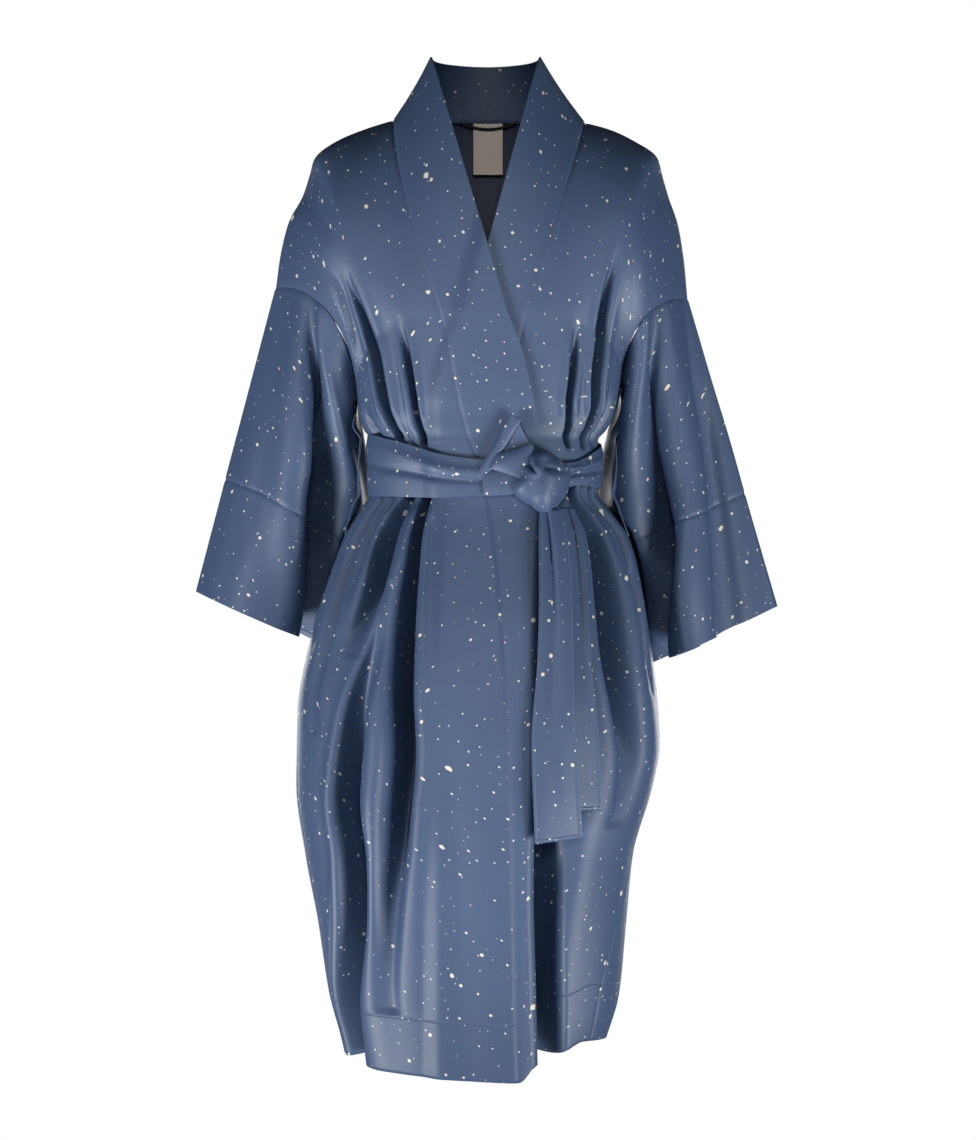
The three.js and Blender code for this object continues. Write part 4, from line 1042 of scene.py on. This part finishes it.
# Each crease runs round part of the sash. Down is its share of the sash's width from the upper edge.
BELT_CREASES = (
    named(
        CREASE_COLUMNS,
        (-180, 0.5, 5, 0),
        (-95, 0.52, 5, 0),
        (-70, 0.5, 5, 3),
        (-30, 0.52, 4, 3.4),
        (5, 0.6, 4, 2),
    ),
    named(CREASE_COLUMNS, (-180, 0.3, 6, 0), (-60, 0.2, 7, -1), (-20, 0.3, 6, -2.4), (5, 0.4, 6, -2)),
    named(CREASE_COLUMNS, (40, 0.5, 3, 4), (60, 0.52, 4, 4), (84, 0.6, 5, 1), (180, 0.5, 5, 0)),
    named(CREASE_COLUMNS, (40, 0.25, 3, -2), (66, 0.3, 5, -3), (90, 0.2, 7, -1), (180, 0.3, 6, 0)),
    named(CREASE_COLUMNS, (-180, 0.6, 6, 2), (-140, 0.55, 6, 2.4), (-110, 0.6, 6, 0)),
    named(CREASE_COLUMNS, (105, 0.4, 6, 0), (140, 0.45, 6, 2.6), (180, 0.4, 6, 2)),
)
BELT_COLUMNS = 360
BELT_ROWS = 22


def belt_face(x, z):
    """How far forward the sash's front stands at a place, as a smooth form."""
    return -ring_point(angle_at(x, z), z)[..., 1] + OVERLAP_LIFT


angles = np.linspace(-180, 180, BELT_COLUMNS, endpoint=False)[None, :]
downs = spaced(0, 1, BELT_ROWS)[:, None]
half = read(BELT_PLACES, "half", angles)
z = read(BELT_PLACES, "middle", angles) + half * (1 - 2 * downs)
waist = ring_point(angles, np.full_like(angles, BELT_MIDDLE_Z)) + 0 * downs[..., None]
out = waist * np.array([1, 1, 0])
out = out / np.linalg.norm(out, axis=-1, keepdims=True)
lapped = ease(*BELT_LIFT["starts"], waist[..., 0]) * (1 - ease(*BELT_LIFT["ends"], waist[..., 0]))
lifted = np.where(waist[..., 1] < 0, OVERLAP_LIFT * lapped, 0)
creased = np.zeros_like(z)
for crease in BELT_CREASES:
    away = (downs - read(crease, "down", angles)) * 2 * half / read(crease, "half", angles)
    inside = (angles >= crease["angle"][0]) & (angles <= crease["angle"][-1])
    creased += np.where(inside, read(crease, "deep", angles) * np.exp(-(away**2)), 0)
bowed = BELT_BOW * np.sin(math.pi * downs)
grid = np.stack([waist[..., 0], waist[..., 1], z], -1)
grid = grid + out * (lifted + BELT_OFF + BELT_WALL + bowed - creased)[..., None]
belt = shell("belt_cloth", grid, -1, BAND_WALL, [PRINTED], loop=True, shift=(17.3, 5.3))
dress(belt, "belt", (0.76, 0.068), 0.0465, held="folded")

# The knot: the strap that wraps the crossing, a soft four-cornered lump with creases that run to its corners.
# It is the sash's own doubled cloth, drawn tight.
KNOT = {"x": 64, "z": -435.5, "thick": 25, "seat": 5}
KNOT_EDGE = named(
    "turn reach",
    (-48, 29.7),
    (-2, 30),
    (23, 33.6),
    (61, 31),
    (93, 36),
    (117, 33.5),
    (165, 27),
    (200, 35),
    (240, 30),
    (279, 36.5),
    (312, 29.7),
)
# From and to are places to the right of the knot's middle and above it, as seen from the front.
KNOT_CREASES = (
    {"from": (-20, 26), "to": (-11, 12), "half": (4, 2.5), "deep": (14, 9)},
    {"from": (2, 22), "to": (-2, -8), "half": (5, 7), "deep": (4, 1)},
    {"from": (30, 10), "to": (2, 16), "half": 3.5, "deep": (5, 2)},
    {"from": (32, -4), "to": (12, -30), "half": 4, "deep": (5, 5)},
    {"from": (-8, 14), "to": (-30, -12), "half": 6, "deep": (-3, -1)},
    {"from": (10, 4), "to": (-2, -26), "half": 9, "deep": (-4, -2)},
)
KNOT_CURVE = {"reach": 0.8, "swell": 0.8, "crease": 0.5}
KNOT_TURNS = 120
KNOT_RINGS = 34
KNOT_LAST_LEAN = 89.9


def crease_depth(creases, x, z):
    """Depth of straight creases on a small piece. Half width and depth run from one end to the other."""
    total = np.zeros_like(x)
    for crease in creases:
        start, end = np.array(crease["from"], float), np.array(crease["to"], float)
        run = end - start
        share = np.clip(((x - start[0]) * run[0] + (z - start[1]) * run[1]) / run.dot(run), 0, 1)
        away = np.hypot(x - start[0] - share * run[0], z - start[1] - share * run[1])
        half = mix(*crease["half"], share) if isinstance(crease["half"], tuple) else crease["half"]
        total += mix(*crease["deep"], share) * np.exp(-((away / half) ** 2))
    return total


turns = np.linspace(KNOT_EDGE["turn"][0], KNOT_EDGE["turn"][-1], KNOT_TURNS, endpoint=False)[None, :]
lean = np.radians(np.linspace(0, KNOT_LAST_LEAN, KNOT_RINGS))[:, None]
reach = read(KNOT_EDGE, "reach", turns) * np.cos(lean) ** KNOT_CURVE["reach"]
x = reach * np.cos(np.radians(turns))
z = reach * np.sin(np.radians(turns))
creased = crease_depth(KNOT_CREASES, x, z) * np.sin(lean) ** KNOT_CURVE["crease"]
swell = KNOT["thick"] * np.sin(lean) ** KNOT_CURVE["swell"] - creased
seat = belt_face(KNOT["x"] + x, np.full_like(z, KNOT["z"])) + KNOT["seat"]
grid = np.stack([KNOT["x"] + x, -(seat + swell), KNOT["z"] + z], -1)
knot = shell("belt_knot_cloth", grid, -1, BAND_WALL, [PRINTED], loop=True, shift=(19.1, 6.3))
dress(knot, "belt_knot", (0.09, 0.09), 0.0075, held="folded")

# The ear of the half bow: the same strap, folded flat in a loop that stands up beside the knot. Its corners
# are x, z and how far they stand off the sash.
EAR_STRAPS = (
    {"corners": ((-15, -429, 3), (-4, -436, 3), (39, -364, 9), (27, -358, 8)), "bulge": 3.5},
    {"corners": ((12, -395, 3), (34, -360, 6), (54, -398, 7), (16, -412, 4)), "bulge": -2},
    {"corners": ((10, -405, 7), (52, -393, 12), (47, -434, 15), (4, -420, 6)), "bulge": 4},
    {"corners": ((-6, -424, 2), (38, -424, 8), (34, -449, 7), (-4, -452, 2)), "bulge": 3},
)
STRAP_STEPS = 20
STRAP_CURVE = {"across": 0.7, "down": 0.5}
STRAP_LOWEST_Z = -446


def strap_grid(corners, bulge):
    """A soft four-cornered piece of strap on the front of the sash."""
    a, b = np.meshgrid(spaced(0, 1, STRAP_STEPS), spaced(0, 1, STRAP_STEPS))
    start, right, far, left = (np.array(c, float) for c in corners)
    flat = mix(mix(start, left, a[..., None]), mix(right, far, a[..., None]), b[..., None])
    x, z, off = flat[..., 0], flat[..., 1], flat[..., 2]
    swell = bulge * np.sin(math.pi * a) ** STRAP_CURVE["across"] * np.sin(math.pi * b) ** STRAP_CURVE["down"]
    seat = belt_face(x, np.maximum(z, STRAP_LOWEST_Z)) + BELT_OFF + BELT_WALL
    return np.stack([x, -(seat + off + swell), z], -1)


def joined(name, pieces):
    """Makes several meshes one piece."""
    with bpy.context.temp_override(active_object=pieces[0], selected_editable_objects=pieces):
        bpy.ops.object.join()
    pieces[0].name = name
    return pieces[0]


straps = []
for k, strap in enumerate(EAR_STRAPS):
    grid = strap_grid(strap["corners"], strap["bulge"])
    straps.append(shell(f"ear_strap_{k}", grid, -1, BAND_WALL, [PRINTED], shift=(21.7 + k, 7.3)))
ear = joined("belt_ear_cloth", straps)
dress(ear, "belt_ear", (0.065, 0.1), 0.0056, held="folded")

# The two hanging ends of the sash, doubled and stitched round, one over the other, with soft pleats where
# they leave the knot.
TAIL_CREASE_COLUMNS = "z share half deep"
# Out is how far a tail stands off the sash's face, and slant how much lower one of its corners ends.
TAILS = {
    "belt_tail_front": {
        "out": 8.5,
        "places": named(
            "z left right",
            (-852, 54, 109),
            (-740, 50, 102),
            (-640, 57, 99),
            (-560, 59, 98),
            (-500, 59, 92),
            (-468, 60, 82),
        ),
        "creases": named(
            TAIL_CREASE_COLUMNS,
            (-852, 0.5, 7, 0),
            (-700, 0.45, 8, 1.5),
            (-560, 0.4, 5, 4),
            (-468, 0.35, 3, 6),
        ),
        "slant": 6,
        "flat": (0.058, 0.39),
        "area": 0.0195,
    },
    "belt_tail_back": {
        "out": 3.5,
        "places": named(
            "z left right",
            (-818, 73, 132),
            (-740, 74, 128),
            (-640, 76, 120),
            (-560, 78, 116),
            (-500, 78, 110),
            (-466, 76, 100),
        ),
        "creases": named(
            TAIL_CREASE_COLUMNS,
            (-818, 0.8, 7, 1),
            (-700, 0.78, 8, 2),
            (-560, 0.72, 5, 3),
            (-466, 0.7, 4, 4),
        ),
        "slant": 0,
        "flat": (0.058, 0.36),
        "area": 0.0185,
    },
}
TAIL_ROWS = 110
TAIL_COLUMNS = 22
TAIL_WIDE = 50
TAIL_STITCH = {"from_side": 3, "from_end": 5}
TAIL_WAVE = {"high": 1.6, "down": 9, "across": 2}
TAIL_SLANT_POWER = 6
for k, (name, tail) in enumerate(TAILS.items()):
    across = spaced(0, 1, TAIL_COLUMNS)[None, :]
    low_z, high_z = tail["places"]["z"][0], tail["places"]["z"][-1]
    z = np.linspace(high_z, low_z, TAIL_ROWS)[:, None] + 0 * across
    x = mix(read(tail["places"], "left", z), read(tail["places"], "right", z), across)
    away = (across - read(tail["creases"], "share", z)) * TAIL_WIDE / read(tail["creases"], "half", z)
    creased = read(tail["creases"], "deep", z) * np.exp(-(away**2))
    share_down = (z - high_z) / (low_z - high_z)
    wave = TAIL_WAVE["high"] * np.sin(share_down * TAIL_WAVE["down"] + across * TAIL_WAVE["across"] + k)
    y = -(belt_face(x, z) + tail["out"] + wave - creased)
    slanted = tail["slant"] * share_down**TAIL_SLANT_POWER * (across - 0.5)
    from_side = np.minimum(across, 1 - across) * TAIL_WIDE - TAIL_STITCH["from_side"]
    from_end = (1 - share_down) * (high_z - low_z) - TAIL_STITCH["from_end"]
    piece = shell(
        f"{name}_cloth", np.stack([x, y, z + slanted], -1), 1, BAND_WALL, [PRINTED],
        stitch=np.minimum(from_side, from_end), shift=(26.3 + k, 8.3),
    )
    dress(piece, name, tail["flat"], tail["area"])

# The belt loops: narrow slack strips of the same cloth, sewn to the side seams above and below the sash.
# Bow is how far the slack middle stands out, and sewn how far the ends stand off the seam.
LOOPS = {
    "left": {"side": 1, "angle": 84, "top": -324, "foot": -498, "bow": 12, "sewn": 0.5},
    "right": {"side": -1, "angle": -84, "top": -352, "foot": -502, "bow": 5, "sewn": -1.7},
}
LOOP_SPREAD = 7
LOOP_WALL = 1.4
LOOP_SLACK = {"off": 3, "share": 0.12}
LOOP_OVER_BELT = {"clear": 3, "past": 16}
LOOP_TWIST = {"high": 2.2, "down": 7}
LOOP_ROWS = 70
LOOP_COLUMNS = 8
for wearer_side, loop in LOOPS.items():
    down = np.linspace(0, 1, LOOP_ROWS)[:, None]
    across = spaced(0, 1, LOOP_COLUMNS)[None, :]
    z = mix(loop["top"], loop["foot"], down) + 0 * across
    grid = ring_point(loop["angle"] - loop["side"] * (across - 0.5) * LOOP_SPREAD, z)
    near_belt = 1 - ease(BELT_PINCH[0], BELT_PINCH[1] + LOOP_OVER_BELT["past"], np.abs(z - BELT_MIDDLE_Z))
    slack = ease(0, LOOP_SLACK["share"], np.minimum(down, 1 - down))
    over_belt = near_belt * (BELT_WALL + BELT_OFF + LOOP_OVER_BELT["clear"])
    off = mix(loop["sewn"], LOOP_SLACK["off"], slack) + LOOP_WALL + over_belt
    twist = LOOP_TWIST["high"] * np.sin(down * LOOP_TWIST["down"]) * (across - 0.5) * slack
    grid[..., 0] += loop["side"] * (off + loop["bow"] * np.sin(math.pi * down) ** 2 + twist)
    piece = shell(
        f"belt_loop_{wearer_side}_cloth", grid, loop["side"], LOOP_WALL, [PRINTED],
        shift=(31.1 + loop["side"], 9.7),
    )
    dress(piece, f"belt_loop_{wearer_side}", (0.02, 0.2), 0.0033)

# Inside the back of the neck: a woven label left bare, and the thin black tape that the robe hangs by, its
# ends caught in the neck seam.
LABEL = {"half": 18, "top": 8.6, "foot": -56, "wall": 0.8, "y": 75.4, "cup": 1.9}
LABEL_WAVE = {"high": 0.5, "down": 5}
LABEL_ROWS = 24
LABEL_COLUMNS = 16
LABEL_WEAVE = {"color": (0.9, 0.76, 0.66), "threads": 1400, "roughness": 0.7}
TAPE_WEAVE = {"color": (0.012, 0.012, 0.014), "threads": 1800, "roughness": 0.75}
WOVEN_THREAD_HEIGHT = 0.0003
WOVEN_SHADES = (0.75, 1.2)
TAPE = {"half": 36, "end_y": 70.6, "middle_y": 71.3, "end_z": 8, "sag": 9, "radius": 1.1, "wall": 0.77}
TAPE_COLUMNS = 12
TAPE_ROWS = 60


def woven(name, color, threads, roughness):
    """A plain woven tape or label."""
    material, tree, shader, place = new_cloth_material(name, roughness)
    grain = noise_node(tree, place, {"Scale": threads})
    tree.links.new(shaded(tree, grain.outputs[0], color, *WOVEN_SHADES), shader.inputs["Base Color"])
    weave = placed(tree, WEAVE, {"Threads per metre": threads, "Thread height": WOVEN_THREAD_HEIGHT}, place)
    tree.links.new(bumped(tree, weave.outputs["Height"]), shader.inputs["Normal"])
    return material


across, down = np.meshgrid(spaced(-1, 1, LABEL_COLUMNS), spaced(0, 1, LABEL_ROWS))
y = LABEL["y"] - LABEL["cup"] * across**2 - LABEL_WAVE["high"] * np.sin(down * LABEL_WAVE["down"])
grid = np.stack([LABEL["half"] * across, y, mix(LABEL["top"], LABEL["foot"], down)], -1)
label = shell("neck_label_cloth", grid, 1, LABEL["wall"], [woven("Woven label", **LABEL_WEAVE)])
dress(label, "neck_label", (0.037, 0.066), 0.0024, slot="label")

along_tape = np.linspace(-1, 1, TAPE_ROWS)[:, None]
turn = np.linspace(0, 2 * math.pi, TAPE_COLUMNS, endpoint=False)[None, :]
x = TAPE["half"] * along_tape + 0 * turn
y = mix(TAPE["middle_y"], TAPE["end_y"], along_tape**2) + TAPE["radius"] * np.cos(turn)
z = TAPE["end_z"] - TAPE["sag"] * (1 - along_tape**2) + TAPE["radius"] * np.sin(turn)
grid = np.stack([x, y, z], -1)
tape = shell("hanging_loop_cloth", grid, -1, TAPE["wall"], [woven("Black tape", **TAPE_WEAVE)], loop=True)
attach(tape, "root")
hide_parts("hanging_loop")

# Camera at the picture's angle: level with the middle of the robe and four metres in front of it.
SENSOR = 36
CAMERA_AWAY = 4.0
CAMERA_Z = -0.539
FRAME_HIGH = 1.368
camera_data = bpy.data.cameras.new("Camera")
camera_data.sensor_width = SENSOR
camera_data.lens = SENSOR * CAMERA_AWAY / FRAME_HIGH
camera = bpy.data.objects.new("Camera", camera_data)
camera.location = (0, -CAMERA_AWAY, CAMERA_Z)
camera.rotation_euler = (math.pi / 2, 0, 0)
bpy.context.scene.collection.objects.link(camera)
bpy.context.scene.camera = camera

# A pale studio: a floor well below the robe, a big low lamp in front on either side, a weak one high in the
# middle and two weak ones behind, in a room that is white to the camera but dark in the cloth's gloss.
FLOOR_Z = -1.62
FLOOR_HALF = 0.8
FLOOR_PALE = (0.85, 0.85, 0.85, 1)
FLOOR_GLOW = (0.5, 0.5, 0.5, 1)
FLOOR_ROUGHNESS = 0.9
LAMPS_AIM = (0, 0, -0.5)
LAMPS = (
    {"name": "Left", "place": (-3.1, -2.3, -2.7), "size": 1.7, "power": 255},
    {"name": "Right", "place": (3.1, -2.3, -2.7), "size": 1.7, "power": 215},
    {"name": "Middle", "place": (0, -4.1, 0.6), "size": 1.0, "power": 38},
    {"name": "Back left", "place": (-1.5, 3.8, -0.5), "size": 1.7, "power": 62},
    {"name": "Back right", "place": (1.5, 3.8, -0.5), "size": 1.7, "power": 62},
)
ROOM_AROUND = (0.03, 0.03, 0.032, 1)
ROOM_SEEN = (1, 1, 1, 1)

floor_mesh = bpy.data.meshes.new("floor")
floor_corners = [(x * FLOOR_HALF, y * FLOOR_HALF, FLOOR_Z) for x, y in ((-1, -1), (1, -1), (1, 1), (-1, 1))]
floor_mesh.from_pydata(floor_corners, [], [(0, 1, 2, 3)])
floor = bpy.data.objects.new("floor", floor_mesh)
bpy.context.scene.collection.objects.link(floor)
floor_paint = bpy.data.materials.new("Pale floor")
floor_paint.use_nodes = True
floor_shader = floor_paint.node_tree.nodes["Principled BSDF"]
floor_shader.inputs["Base Color"].default_value = FLOOR_PALE
floor_shader.inputs["Roughness"].default_value = FLOOR_ROUGHNESS
floor_shader.inputs["Emission Color"].default_value = FLOOR_GLOW
floor_path = floor_paint.node_tree.nodes.new("ShaderNodeLightPath")
floor_paint.node_tree.links.new(floor_path.outputs["Is Camera Ray"], floor_shader.inputs["Emission Strength"])
floor_mesh.materials.append(floor_paint)

for lamp in LAMPS:
    lamp_data = bpy.data.lights.new(lamp["name"], "AREA")
    lamp_data.size = lamp["size"]
    lamp_data.energy = lamp["power"]
    lamp_object = bpy.data.objects.new(lamp["name"], lamp_data)
    lamp_object.location = lamp["place"]
    lamp_object.visible_camera = False
    aim = np.array(LAMPS_AIM) - np.array(lamp["place"])
    tilt = math.acos(-aim[2] / np.linalg.norm(aim))
    lamp_object.rotation_euler = (tilt, 0, math.atan2(aim[1], aim[0]) - math.pi / 2)
    bpy.context.scene.collection.objects.link(lamp_object)

bpy.context.scene.view_settings.view_transform = "Standard"
world = bpy.data.worlds.new("Studio")
bpy.context.scene.world = world
world.use_nodes = True
room = world.node_tree
path = room.nodes.new("ShaderNodeLightPath")
seen = room.nodes.new("ShaderNodeMix")
seen.data_type = "RGBA"
seen.inputs["A"].default_value = ROOM_AROUND
seen.inputs["B"].default_value = ROOM_SEEN
room.links.new(path.outputs["Is Camera Ray"], seen.inputs["Factor"])
room.links.new(seen.outputs["Result"], room.nodes["Background"].inputs["Color"])
